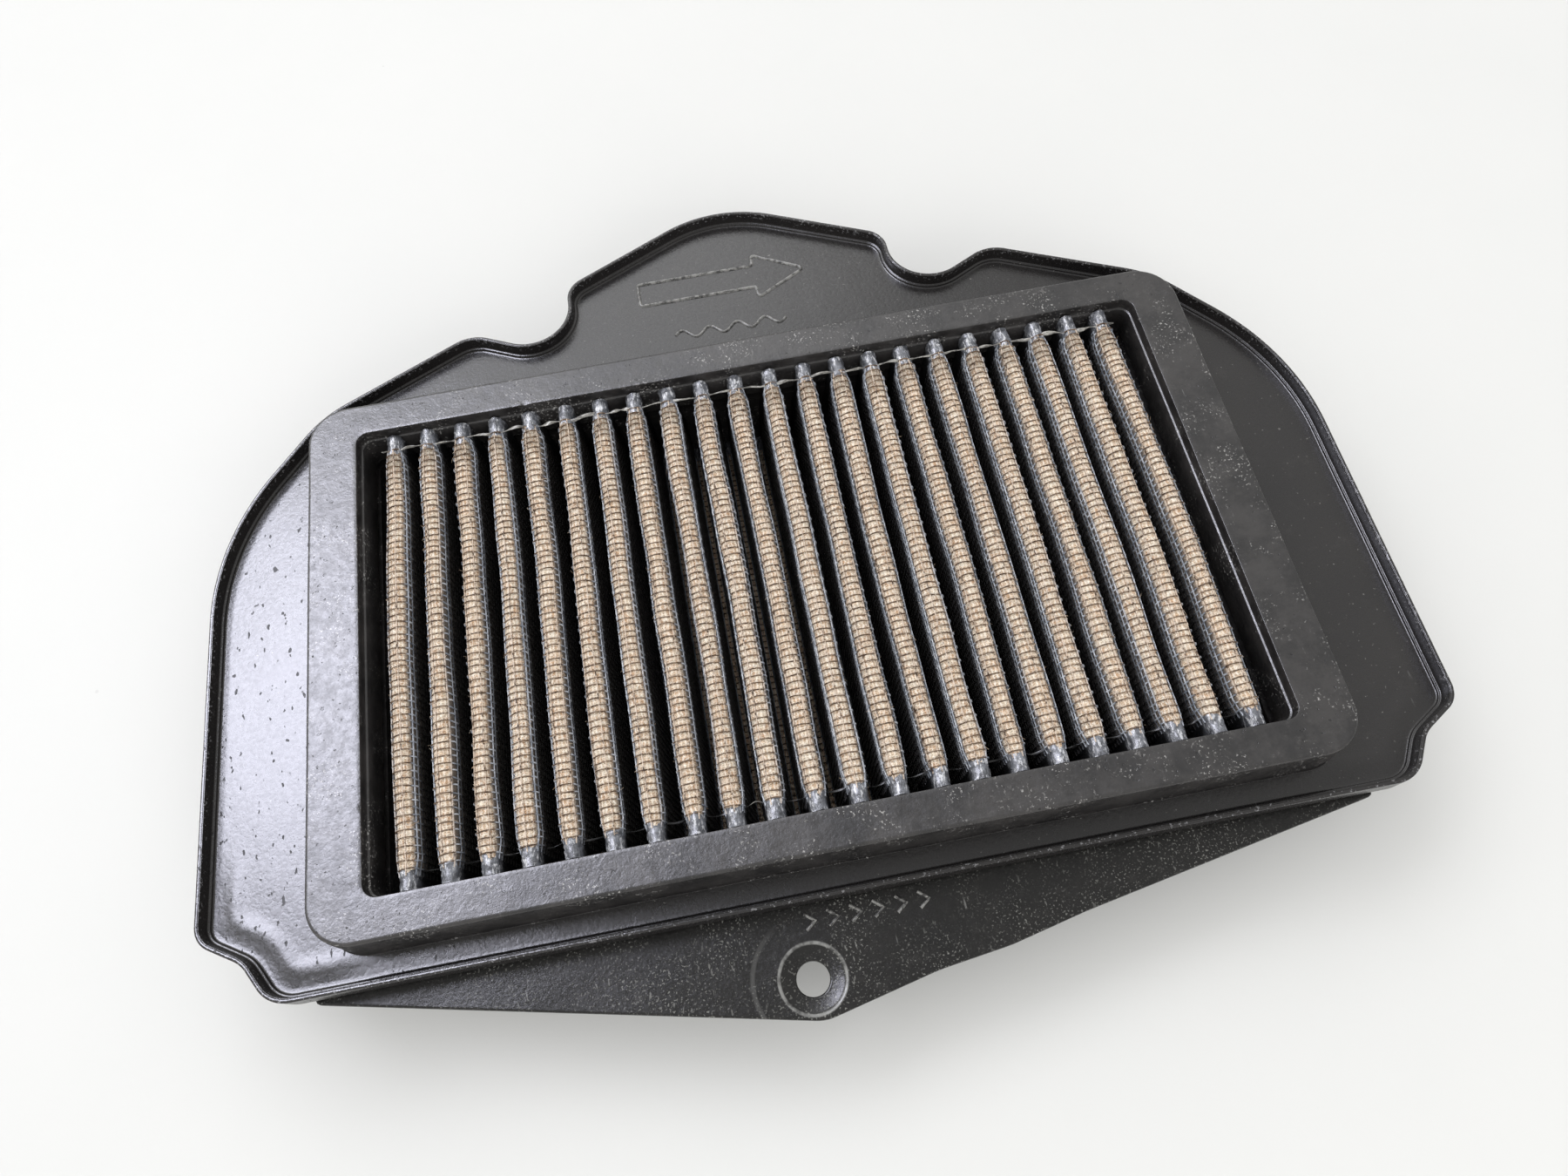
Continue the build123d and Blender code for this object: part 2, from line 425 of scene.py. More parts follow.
def tray_material():
    """Semi-gloss black moulding: soft grain, elongated pits with painted shade in them, handling
    marks and dust, and painted glints along the rim's crest.
    """
    s = Shader("black_tray_moulding")
    grain = s.noise(0.9, 3.0, 0.6)
    pits = s.range(s.noise(1.3, 2.0, 0.5, s.stretched(1, 0.5, 1, 20)), 0.335, 0.285)
    pits = s.math("MULTIPLY", pits, s.range(s.axis("X"), -0.070, -0.095, 0.12, 1.0))
    waves = s.noise(17, 2.0, 0.5)
    dust = s.range(s.noise(6, 6.0, 0.75), 0.52, 0.80)
    base = s.mix(s.noise(22, 3.0, 0.6), (0.010, 0.009, 0.010), (0.021, 0.019, 0.018))
    base = s.over(base, dust, 0.06, (0.20, 0.19, 0.18))
    base = s.over(base, flecks(s, 0.8, 0.0), 0.35, fleck_pale)
    base = s.over(base, hairlines(s, 40, 0.0), 0.22, (0.35, 0.35, 0.35))
    # painted shade: the pits are coloured near-black
    base = s.over(base, pits, 0.8, pit_shade_black)
    roughness = s.range(s.noise(0.9, 3.0, 0.6), 0.25, 0.75, 0.25, 0.30)
    roughness = s.math("ADD", roughness, s.math("MULTIPLY", pits, 0.3))
    normal = s.bump(waves, 0.09)
    normal = s.bump(grain, 0.048, normal)
    normal = s.bump(pits, -0.05, normal)
    rim = s.range(s.axis("Z"), 0.0262, 0.0276)
    # painted glints: pale specks painted along the rim's crest
    rim_glints = s.math("MULTIPLY", flecks(s, 0.7, 0.10), rim)
    base = s.over(base, rim_glints, 0.28, (0.55, 0.55, 0.58))
    roughness = s.math("SUBTRACT", roughness, s.math("MULTIPLY", rim, 0.08))
    return s.set(colour=base, roughness=roughness, normal=normal, specular=0.52)


def collar_material():
    """Matt black rubber with an uneven skin, dusty speckles, scuffed patches and pits with painted
    shade in them.
    """
    s = Shader("black_collar_rubber")
    grain = s.noise(0.8, 3.0, 0.65)
    lumps = s.noise(3.0, 3.0, 0.6)
    pits = s.range(s.noise(1.1, 2.0, 0.5), 0.305, 0.26)
    patch = s.range(s.noise(19, 3.0, 0.6), 0.36, 0.66)
    dust = s.math("MULTIPLY", s.range(s.noise(2.4, 6.0, 0.78), 0.5, 0.76), patch)
    cluster = s.range(s.noise(12, 4.0, 0.7), 0.48, 0.60)
    specks = s.math("MULTIPLY", flecks(s, 0.6, 0.10), cluster)
    scuffs = s.math("MULTIPLY", flecks(s, 1.0, 0.06, s.stretched(1, 0.3, 1, -35)), cluster)
    base = s.range(s.noise(11, 5.0, 0.7), 0.35, 0.65)
    base = s.mix(base, (0.012, 0.0112, 0.0115), (0.034, 0.0315, 0.031))
    base = s.over(base, scuffs, 0.3, (0.28, 0.27, 0.265))
    base = s.over(base, dust, 0.24, (0.20, 0.19, 0.185))
    base = s.over(base, specks, 0.65, (0.45, 0.44, 0.43))
    base = s.over(base, hairlines(s, -50, 0.01), 0.3, (0.38, 0.38, 0.38))
    # painted shade: the pits are coloured near-black
    base = s.over(base, pits, 0.8, pit_shade_black)
    roughness = s.range(s.noise(1.6, 5.0, 0.7), 0.25, 0.75, 0.29, 0.43)
    normal = s.bump(lumps, 0.075)
    normal = s.bump(grain, 0.055, normal)
    normal = s.bump(pits, -0.07, normal)
    return s.set(colour=base, roughness=roughness, normal=normal, specular=0.58)


def tab_material():
    """Satin black plate, thickly speckled with fine scuffs, with painted highlights round the bolt
    seat's edge and on the left side of the pad's step.
    """
    s = Shader("black_tab_moulding")
    patch = s.range(s.noise(13, 4.0, 0.65), 0.34, 0.62)
    specks = s.math("MULTIPLY", flecks(s, 0.5, 0.10), patch)
    dashes = s.math("MULTIPLY", flecks(s, 0.7, 0.04, s.stretched(1, 0.3, 1, 12)), patch)
    dust = s.range(s.noise(3.5, 6.0, 0.75), 0.5, 0.8)
    base = s.mix(s.noise(14, 3.0, 0.6), (0.008, 0.008, 0.008), (0.018, 0.017, 0.016))
    base = s.over(base, dust, 0.08, (0.19, 0.18, 0.17))
    base = s.over(base, specks, 0.38, (0.45, 0.45, 0.42))
    base = s.over(base, dashes, 0.35, (0.40, 0.40, 0.38))
    base = s.over(base, hairlines(s, 8, 0.03), 0.35, (0.36, 0.36, 0.35))
    reach = s.reach_from(bolt_x, bolt_y)
    # painted highlight: a patchy pale ring round the bolt seat's edge
    highlight_patches = s.range(s.noise(3.0, 3.0, 0.6), 0.30, 0.62)
    ring = s.math("MULTIPLY", s.band(reach, bolt_seat_radius + 0.05, 0.5), highlight_patches)
    base = s.over(base, ring, 0.6, highlight_grey)
    # painted highlight: a pale arc on the left side of the pad's step, the side toward the light
    left_side = s.range(s.axis("X"), (bolt_x - 5) * MM, (bolt_x - 11) * MM)
    step = s.math("MULTIPLY", s.band(reach, bolt_pad_radius, 0.7), left_side)
    base = s.over(base, step, 0.11, highlight_grey)
    roughness = s.range(s.noise(1.4, 4.0, 0.65), 0.25, 0.75, 0.22, 0.30)
    normal = s.bump(s.noise(10, 2.0, 0.5, s.stretched(0.5, 1, 1, 8)), 0.10)
    normal = s.bump(s.noise(0.9, 4.0, 0.7), 0.07, normal)
    return s.set(colour=base, roughness=roughness, normal=normal, specular=0.29)


def mark_material():
    """The same black plastic on the raised marks, painted pale in patches: a painted highlight."""
    s = Shader("raised_marks_painted_highlight")
    # painted highlight: the marks are painted pale in patches
    highlight_patches = s.range(s.noise(1.2, 3.0, 0.6), 0.35, 0.62)
    base = s.mix(highlight_patches, (0.040, 0.039, 0.038), (0.25, 0.248, 0.24))
    base = s.over(base, flecks(s, 0.4, 0.12), 0.5, fleck_pale)
    normal = s.bump(s.noise(0.5, 3.0, 0.6), 0.03)
    return s.set(colour=base, roughness=0.38, normal=normal, specular=0.45)


def gauze_material():
    """Oiled cotton gauze: loose yarns both ways over a fuzzy ground, with painted highlights on the
    yarns, and painted shade on the flanks, deep in the folds and toward the back wall.

    The UV's x is the way round from the middle of a fold, and its y is along the pleat.
    """
    s = Shader("oiled_cotton_gauze")
    place = s.uv()
    wander = s.noise(1.4, 3.0, 0.7)
    yarn_round = yarns(s, s.axis("X", place), 0.66, wander)
    yarn_along = yarns(s, s.axis("Y", place), 0.58, wander)
    fuzz = s.noise(0.55, 4.0, 0.8, s.stretched(1, 0.6, 1))
    weave = s.math("MAXIMUM", yarn_round, yarn_along)
    height = s.math("ADD", weave, s.math("MULTIPLY", fuzz, 1.2))
    patch = s.noise(1.5, 5.0, 0.75)
    base = s.mix(s.range(patch, 0.36, 0.62), (0.66, 0.42, 0.25), (0.97, 0.85, 0.68))
    base = s.mix(s.range(s.noise(7, 3.0, 0.6), 0.4, 0.7, 0.0, 0.30), base, (0.72, 0.45, 0.24))
    base = s.mix(s.range(weave, 0.8, 0.15, 0.0, 0.45), base, (0.26, 0.15, 0.09))
    base = s.mix(s.range(fuzz, 0.50, 0.64, 0.0, 0.85), base, (1.0, 0.94, 0.84))
    # painted highlight on the crowns of the round yarns
    base = s.mix(s.range(yarn_round, 0.72, 1.0, 0.0, 0.6), base, (1.0, 0.92, 0.84))
    # painted shade: the gauze darkens over the last millimetres toward the back wall
    back_wall_shade = s.range(s.axis("Y", place), media_end - 10, media_end - 2, 0.0, 0.55)
    base = s.mix(back_wall_shade, base, (0.16, 0.135, 0.10))
    around = s.axis("X", place)
    # painted shade on the pleats' flanks, more on the right flanks, away from the light
    shade = s.math(
        "ADD", s.range(around, 0.85, 1.85, 0.0, 0.88), s.range(around, -1.35, -2.5, 0.0, 0.80)
    )
    base = s.mix(shade, base, (0.060, 0.042, 0.032))
    # painted shade: near-black deeper down in the folds
    depth = s.outer_height()
    base = s.mix(s.range(depth, 0.0318, 0.0240, 0.0, 0.95), base, (0.010, 0.009, 0.009))
    normal = s.bump(height, 0.20)
    return s.set(
        colour=base, roughness=0.85, normal=normal, sheen=0.12, sheen_roughness=0.5
    )


def yarns(s, position, pitch_mm, wander):
    """Rounded ridges across position, from 0 to 1, pushed about by wander."""
    moved = s.math("ADD", position, s.math("MULTIPLY", wander, 1.1))
    wave = s.math("SINE", s.math("MULTIPLY", moved, 2 * pi / pitch_mm))
    return s.math("ADD", s.math("MULTIPLY", wave, 0.5), 0.5)


def wire_material():
    """Coated wire: brown on the pleats' tops, partly dirt and partly a painted reflection of the
    gauze, a painted bluish reflection on their shoulders, and painted shade below.

    The UV's x is 0 on the wires round the pleats and 1 on the lengthwise ones, and its
    y is the way round from the middle of a fold.
    """
    s = Shader("coated_screen_wire")
    place = s.uv()
    around = s.axis("Y", place)
    flank = s.math("ADD", s.range(around, 1.0, 1.6), s.range(around, -1.35, -1.95))
    stain_and_sheen = s.noise(1.6, 4.0, 0.7)
    # brown on the tops: partly dirt, partly a painted reflection of the tan gauze
    brown = s.mix(s.range(stain_and_sheen, 0.35, 0.65), (0.065, 0.038, 0.024), (0.21, 0.15, 0.105))
    # painted reflection: bluish grey on the shoulders
    shoulder_reflection = s.mix(s.range(stain_and_sheen, 0.35, 0.65), (0.28, 0.32, 0.39), (0.76, 0.80, 0.88))
    # painted glints: the lengthwise wires are painted pale in patches on the tops
    lengthwise_glints = s.math("MULTIPLY", s.axis("X", place), s.range(stain_and_sheen, 0.36, 0.52))
    brown = s.mix(lengthwise_glints, brown, (0.68, 0.57, 0.48))
    # painted shade: the right shoulders' reflection is darkened
    shoulder_reflection = s.mix(s.range(around, 1.0, 1.6, 0.0, 0.3), shoulder_reflection, (0.06, 0.055, 0.065))
    base = s.mix(flank, brown, shoulder_reflection)
    # painted shade: dark deeper down, starting lower on the left shoulders, which face the light
    depth = s.math("ADD", s.outer_height(), s.range(around, 0.0, -2.0, 0.0, 0.0013))
    base = s.mix(s.range(depth, 0.0326, 0.0285), base, (0.016, 0.014, 0.013))
    roughness = s.range(s.noise(1.0, 2.0, 0.5), 0.3, 0.7, 0.38, 0.55)
    normal = s.bump(s.noise(0.5, 2.0, 0.5), 0.02)
    shine = s.range(flank, 0.0, 1.0, 0.06, 0.32)
    return s.set(colour=base, roughness=roughness, normal=normal, specular=shine)


def resin_material():
    """Cloudy grey resin over pinched gauze, streaked along the pleats with painted highlights, with
    painted shade deeper down.
    """
    s = Shader("cloudy_seal_resin")
    highlight_streaks = s.noise(0.7, 4.0, 0.7, s.stretched(1, 0.3, 1))
    cloud = s.noise(1.6, 4.0, 0.7)
    base = s.mix(s.range(cloud, 0.35, 0.65), (0.055, 0.058, 0.068), (0.20, 0.21, 0.24))
    # painted highlight: pale streaks along the pleats
    base = s.mix(s.range(highlight_streaks, 0.52, 0.62, 0.0, 0.9), base, (0.70, 0.71, 0.75))
    base = s.mix(s.range(s.noise(0.9, 3.0, 0.6), 0.62, 0.7, 0.0, 0.6), base, (0.02, 0.02, 0.022))
    # painted shade: near-black deeper down in the pleats
    base = s.mix(s.range(s.outer_height(), 0.0325, 0.0290), base, (0.010, 0.010, 0.011))
    normal = s.bump(s.noise(0.8, 4.0, 0.7, s.stretched(1, 0.4, 1)), 0.26)
    return s.set(
        colour=base, roughness=0.36, normal=normal, specular=0.5, coat=0.35, coat_roughness=0.18
    )


def thread_material():
    """Pale twisted thread with a dull sheen and darker dirt in its twist, and painted shade where it
    lies deep.
    """
    s = Shader("pale_pleat_thread")
    strands = s.noise(0.35, 3.0, 0.6, s.stretched(0.35, 1, 1))
    base = s.mix(s.range(strands, 0.35, 0.65), (0.14, 0.135, 0.125), (0.46, 0.45, 0.42))
    base = s.mix(s.range(s.noise(5, 3.0, 0.6), 0.45, 0.7, 0.0, 0.8), base, (0.06, 0.056, 0.052))
    # painted shade: near-black where the thread lies deep between the pleats
    base = s.mix(s.range(s.axis("Z"), 0.0330, 0.0315), base, (0.012, 0.012, 0.012))
    normal = s.bump(strands, 0.06)
    return s.set(colour=base, roughness=0.45, normal=normal, sheen=0.2)


def floor_material():
    """Pale table top with a very faint texture."""
    s = Shader("pale_table_top")
    base = s.mix(s.noise(60, 4.0, 0.6), (0.715, 0.72, 0.715), (0.745, 0.745, 0.74))
    specks = s.range(s.cells(30), 0.022, 0.01)
    base = s.over(base, specks, 0.25, (0.45, 0.45, 0.45))
    normal = s.bump(s.noise(1.5, 3.0, 0.6), 0.02)
    return s.set(colour=base, roughness=0.6, normal=normal, specular=0.25)


# ---------------------------------------------------------------- moulded frame

def tray_corners():
    mirrored = [(-x, y, radius) for x, y, radius in reversed(half_outline)]
    return [tab_peak] + half_outline + mirrored


def rim_profile():
    """(inset, height) of the tray's edge, from under the rim over it to the floor."""
    base, top, floor = tray_underside, rim_top, tray_floor
    return [
        (2.5, base), (0.5, base), (0.15, base + 0.06), (0.02, base + 0.22), (0.0, base + 0.5),
        (0.0, top - 1.6), (0.0, top - 0.3), (0.05, top - 0.12), (0.16, top - 0.03),
        (0.32, top), (0.6, top), (0.68, top - 0.02), (0.73, top - 0.1), (0.79, top - 0.1),
        (0.84, top - 0.02), (0.9, top - 0.01), (0.97, top - 0.05), (1.01, top - 0.16),
        (1.04, top - 0.5), (1.1, top - 1.4), (1.16, floor + 1.05), (1.22, floor + 0.75),
        (1.34, floor + 0.64), (1.5, floor + 0.6), (1.66, floor + 0.57), (1.74, floor + 0.49),
        (1.78, floor + 0.34), (1.86, floor + 0.16), (2.02, floor + 0.04), (2.3, floor),
        (3.0, floor),
    ]


def rim_wear(points, spans):
    """Small nicks and flash along the crest, as changes of height in millimetres."""
    flat = points[:, :2]
    nicks = np.clip(ripple(flat, 1.1, 11) - 1.1, 0, 1) * 0.16
    flash = np.clip(ripple(flat, 2.3, 12) - 0.9, 0, 1) * 0.10
    patch = np.clip(ripple(flat, 25, 13) + 0.4, 0, 1)
    return (flash * patch - nicks * patch) * spans


def tray_shell(material):
    """The tray: its rim swept round the outline, then the floor and the underside."""
    outline_spacing, crest_depth = 0.55, 0.35
    outline, normals = rounded_outline(tray_corners(), outline_spacing)
    profile = rim_profile()
    rows = []
    for inset, height in profile:
        row = np.zeros((len(outline), 3))
        row[:, :2] = outline - inset * normals
        row[:, 2] = height
        crest = np.clip((height - rim_top + crest_depth) / crest_depth, 0, 1)
        row[:, 2] += np.minimum(rim_wear(row, crest), rim_top - height)
        rows.append(row)
    columns = len(outline)
    rim = np.concatenate(rows)
    rim[:, 2] += floor_waves(rim) * np.clip(1 - (rim[:, 2] - tray_floor) / 0.5, 0, 1) * (
        rim[:, 2] > tray_floor - 0.5
    )
    window_margin, window_corner, window_spacing = 4, 3, 3
    floor_spacing, underside_spacing = 1.6, 7.0
    corners = rectangle(bore_length + window_margin, bore_width + window_margin, window_corner)
    window, _ = rounded_outline(corners, window_spacing)
    floor_ring = rows[-1][:, :2]
    grid, triangles = flat_fill([floor_ring, window], floor_spacing)
    under_ring = rows[0][:, :2]
    under_grid, under_triangles = flat_fill([under_ring, window], underside_spacing)
    first_floor = (len(rows) - 1) * columns
    faces = ring_quads(len(rows), columns).tolist()
    points = [rim]
    count = len(rim)
    extra = np.concatenate([window, grid])
    floor_points = np.column_stack([extra, np.full(len(extra), tray_floor)])
    floor_points[:, 2] += floor_waves(floor_points)
    faces += remap(triangles, [(columns, first_floor)], count)
    points.append(floor_points)
    count += len(floor_points)
    extra = np.concatenate([window, under_grid])
    points.append(np.column_stack([extra, np.full(len(extra), tray_underside)]))
    faces += remap(under_triangles[:, ::-1], [(columns, 0)], count)
    top_window = len(rim) + np.arange(len(window))
    low_window = count + np.arange(len(window))
    for k in range(len(window)):
        after = (k + 1) % len(window)
        faces.append([top_window[k], top_window[after], low_window[after], low_window[k]])
    faces = [list(map(int, face)) for face in faces]
    return add_piece(
        "tray_shell", np.concatenate(points), faces, material, ["flange_tray"]
    )


def floor_waves(points):
    """The tray floor isn't quite flat: slow waves, and a swelling along each front corner."""
    flat = points[:, :2]
    outline, _ = rounded_outline(tray_corners(), 2.0)
    inset = np.array([np.min(np.hypot(*(outline - point).T)) for point in flat])
    swelling_height, swelling_inset, swelling_width = 0.30, 6.5, 1.3
    near_corner = np.clip((np.abs(flat[:, 0]) - 98) / 12, 0, 1)
    near_corner *= np.clip((-36 - flat[:, 1]) / 14, 0, 1)
    across = np.exp(-((inset - swelling_inset) / swelling_width) ** 2)
    swelling = swelling_height * near_corner * across
    return swelling + 0.035 * ripple(flat, 45, 21) + 0.012 * ripple(flat, 14, 22)


def remap(triangles, rings, rest_first):
    """Fill triangles numbered over existing rings, each (count, first), then new points."""
    start = 0
    moved = triangles - sum(count for count, _ in rings) + rest_first
    for count, first in rings:
        own = (triangles >= start) & (triangles < start + count)
        moved = np.where(own, triangles - start + first, moved)
        start += count
    return moved.tolist()


def rectangle(length, width, corner):
    """Clockwise corners of a rounded rectangle, from the back left."""
    x, y = length / 2, width / 2
    return [(-x, y, corner), (x, y, corner), (x, -y, corner), (-x, -y, corner)]


def matched_rectangle(length, width, corner):
    """Points round a rounded rectangle, the same number for every size, clockwise."""
    long_steps, short_steps, corner_steps = 250, 150, 12
    x, y = length / 2 - corner, width / 2 - corner
    centres = [(x, y, 90, short_steps), (x, -y, 0, long_steps)]
    centres += [(-x, -y, -90, short_steps), (-x, y, -180, long_steps)]
    points = []
    for number, (cx, cy, start, steps) in enumerate(centres):
        arc = [radians(start - 90 * k / corner_steps) for k in range(corner_steps + 1)]
        points += [(cx + corner * cos(a), cy + corner * sin(a)) for a in arc]
        following = centres[(number + 1) % 4]
        first = radians(following[2])
        end = (following[0] + corner * cos(first), following[1] + corner * sin(first))
        last = points[-1]
        points += [
            (last[0] + (end[0] - last[0]) * k / steps, last[1] + (end[1] - last[1]) * k / steps)
            for k in range(1, steps)
        ]
    return np.array(points)


def outer_loop(out, z):
    """A loop round the collar's outside, out millimetres beyond its nominal size."""
    size = matched_rectangle(
        collar_length + 2 * out, collar_width + 2 * out, collar_corner + out
    )
    return np.column_stack([size, np.full(len(size), z)])


def inner_loop(back, z):
    """A loop round the bore, back millimetres into the wall."""
    size = matched_rectangle(bore_length + 2 * back, bore_width + 2 * back, bore_corner + back)
    return np.column_stack([size, np.full(len(size), z)])


def between(outer, inner, shares):
    return [outer + (inner - outer) * share for share in shares]


def upper_collar_skin(material):
    """The raised collar: flash at its foot, drafted wall, worn flat top, stepped bore."""
    top, foot = total_height, tray_floor
    draft = [(z, (top - z) * collar_slope) for z in (foot + 0.45, foot + 2.5, foot + 5, top - 2.4)]
    loops = [inner_loop(1.0, foot), outer_loop(0.2, foot), outer_loop(0.86, foot + 0.02)]
    loops += [outer_loop(0.84, foot + 0.16), outer_loop(0.66, foot + 0.24)]
    loops += [outer_loop(out, z) for z, out in draft]
    edge = outer_edge_round()
    loops += [outer_loop(-inward, top - down) for inward, down in edge]
    outside, mouth = outer_loop(-0.9, top), inner_loop(mouth_recess + 0.12, top)
    loops += between(outside, mouth, np.linspace(0, 1, 12))
    loops += [inner_loop(mouth_recess + 0.04, top - 0.03), inner_loop(mouth_recess, top - 0.12)]
    step = top - mouth_depth
    loops += [inner_loop(mouth_recess, top - 1.5), inner_loop(mouth_recess, step + 0.12)]
    loops += [inner_loop(mouth_recess - 0.1, step), inner_loop(0.12, step - 0.02)]
    loops += [inner_loop(0, step - 0.16), inner_loop(0, foot + 3), inner_loop(0, foot)]
    loops.append(inner_loop(1.0, foot))
    points = np.concatenate(loops)
    points += collar_wear(points)
    points[:, 2] = np.minimum(points[:, 2], total_height)
    faces = ring_quads(len(loops), len(loops[0]))
    return add_piece(
        "upper_collar_skin", points, faces[:, ::-1], material, ["upper_collar"]
    )


def outer_edge_round():
    """(inward, down) along a collar's rounded edge, from the wall to the flat."""
    radius = collar_edge_radius
    angles = np.radians(np.linspace(0, 90, 7))
    return [(radius * (1 - cos(a)), radius * (1 - sin(a))) for a in angles]


def collar_wear(points):
    """Uneven surface, and nicks along the mouth's edge, as a movement of each point."""
    flat = points[:, :2]
    move = np.zeros_like(points)
    move[:, 2] = -0.05 + 0.022 * ripple(flat, 30, 31) + 0.012 * ripple(flat, 5, 32)
    top = np.clip((points[:, 2] - total_height + 0.9) / 0.9, 0, 1)
    move[:, 2] *= top
    reach = np.maximum(
        np.abs(points[:, 0]) - bore_length / 2, np.abs(points[:, 1]) - bore_width / 2
    )
    near_mouth = np.clip(1 - np.abs(reach - mouth_recess - 0.15) / 0.5, 0, 1) * top
    nicks = np.clip(ripple(flat, 2.0, 33) - 1.05, 0, 1) * np.clip(ripple(flat, 30, 34), 0, 1)
    move[:, 2] -= 0.35 * nicks * near_mouth
    sway = 0.05 * ripple(flat, 40, 35)
    move[:, 0] += sway * np.sign(points[:, 0]) * 0.5
    move[:, 1] += sway * np.sign(points[:, 1]) * 0.5
    return move


def lower_collar_skin(material):
    """The frame under the tray, with a rounded foot."""
    top = tray_underside
    loops = [inner_loop(1.0, top), outer_loop(0, top)]
    loops += [outer_loop(-(top - z) * lower_slope, z) for z in (top - 1, top / 2, 2.0)]
    out = -(top - collar_edge_radius) * lower_slope
    edge = outer_edge_round()
    loops += [outer_loop(out - inward, down) for inward, down in edge]
    foot_out, foot_in = outer_loop(out - 1.0, 0), inner_loop(0.8, 0)
    loops += between(foot_out, foot_in, np.linspace(0, 1, 8))
    loops += [inner_loop(0.25, 0.08), inner_loop(0, 0.5), inner_loop(0, 3.0)]
    loops += [inner_loop(0, top / 2), inner_loop(0, top), inner_loop(1.0, top)]
    points = np.concatenate(loops)
    faces = ring_quads(len(loops), len(loops[0]))
    return add_piece(
        "lower_collar_skin", points, faces, material, ["lower_collar"]
    )


def circle_ring(radius):
    """A clockwise ring round the bolt hole."""
    angles = -2 * pi * np.arange(bolt_ring_points) / bolt_ring_points
    return np.column_stack([bolt_x + radius * np.cos(angles), bolt_y + radius * np.sin(angles)])


def tab_body(material):
    """The front plate, with a rounded edge and a sunk seat round the bolt hole."""
    outline_spacing, top_spacing, underside_spacing = 1.0, 2.5, 7.0
    outline, normals = rounded_outline(tab_outline, outline_spacing)
    top, base = tab_top, tab_underside
    edge = [(0.5, base), (0.2, base + 0.05), (0.03, base + 0.3), (0.0, base + 0.7)]
    edge += [(0.0, top - 0.7), (0.03, top - 0.3), (0.15, top - 0.1), (0.32, top - 0.02), (0.5, top)]
    columns = len(outline)
    rows = [np.column_stack([outline - i * normals, np.full(columns, z)]) for i, z in edge]
    seat = [(bolt_seat_radius + 0.2, top), (bolt_seat_radius + 0.06, top - 0.03)]
    seat += [(bolt_seat_radius - 0.3, top - 0.24), (bolt_seat_radius - 0.7, top - bolt_seat_depth)]
    seat += [(bolt_hole_radius + 0.45, top - bolt_seat_depth), (bolt_hole_radius + 0.12, top - 0.58)]
    seat += [(bolt_hole_radius, top - 0.8), (bolt_hole_radius, base + 0.3)]
    seat += [(bolt_hole_radius + 0.1, base + 0.06), (bolt_hole_radius + 0.5, base)]
    rings = [np.column_stack([circle_ring(r), np.full(bolt_ring_points, z)]) for r, z in seat]
    ring_first = len(rows) * columns
    faces = ring_quads(len(rows), columns).tolist()
    faces += ring_quads(len(rings), bolt_ring_points, ring_first).tolist()
    points = np.concatenate(rows + rings)
    count = len(points)
    top_fill, top_faces = flat_fill([rows[-1][:, :2], rings[0][:, :2]], top_spacing)
    low_fill, low_faces = flat_fill([rows[0][:, :2], rings[-1][:, :2]], underside_spacing)
    last_ring = ring_first + (len(rings) - 1) * bolt_ring_points
    top_rings = [(columns, (len(rows) - 1) * columns), (bolt_ring_points, ring_first)]
    low_rings = [(columns, 0), (bolt_ring_points, last_ring)]
    faces += remap(top_faces, top_rings, count)
    faces += remap(low_faces[:, ::-1], low_rings, count + len(top_fill))
    points = np.concatenate([
        points,
        np.column_stack([top_fill, np.full(len(top_fill), top)]),
        np.column_stack([low_fill, np.full(len(low_fill), base)]),
    ])
    upper = points[:, 2] > top - 0.6
    points[:, 2] += upper * tab_waves(points)
    return add_piece("tab_body", points, faces, material, ["tab_plate"])


def tab_waves(points):
    """A shallow step round the bolt's pad and slow unevenness."""
    flat = points[:, :2]
    reach = np.hypot(flat[:, 0] - bolt_x, flat[:, 1] - bolt_y)
    left = np.clip((bolt_x + 6 - flat[:, 0]) / 8, 0, 1)
    step = 1 / (1 + np.exp(-(reach - bolt_pad_radius) / 0.7))
    far_from_seat = np.clip((reach - 8) / 3, 0, 1)
    return -0.05 * left * (1 - step) * far_from_seat + 0.035 * far_from_seat * (
        ripple(flat, 26, 41) - 1.2
    )


def tab_land(material):
    """The land between the plate and the tray, hidden under the rim."""
    back, front, end, corner, spacing = -65.0, -68.6, 99.0, 0.6, 4.0
    corners = [(-end, back), (end, back), (end, front), (-end, front)]
    outline, _ = rounded_outline([(x, y, corner) for x, y in corners], spacing)
    levels = [tab_top - 0.4, tab_top + 0.2, tray_underside - 0.15, tray_underside - 0.01]
    rows = [np.column_stack([outline, np.full(len(outline), z)]) for z in levels]
    points = np.concatenate(rows)
    faces = ring_quads(len(rows), len(outline)).tolist()
    last = (len(rows) - 1) * len(outline)
    faces.append([last + k for k in range(len(outline))][::-1])
    faces.append(list(range(len(outline))))
    return add_piece("tab_land", points, faces, material)


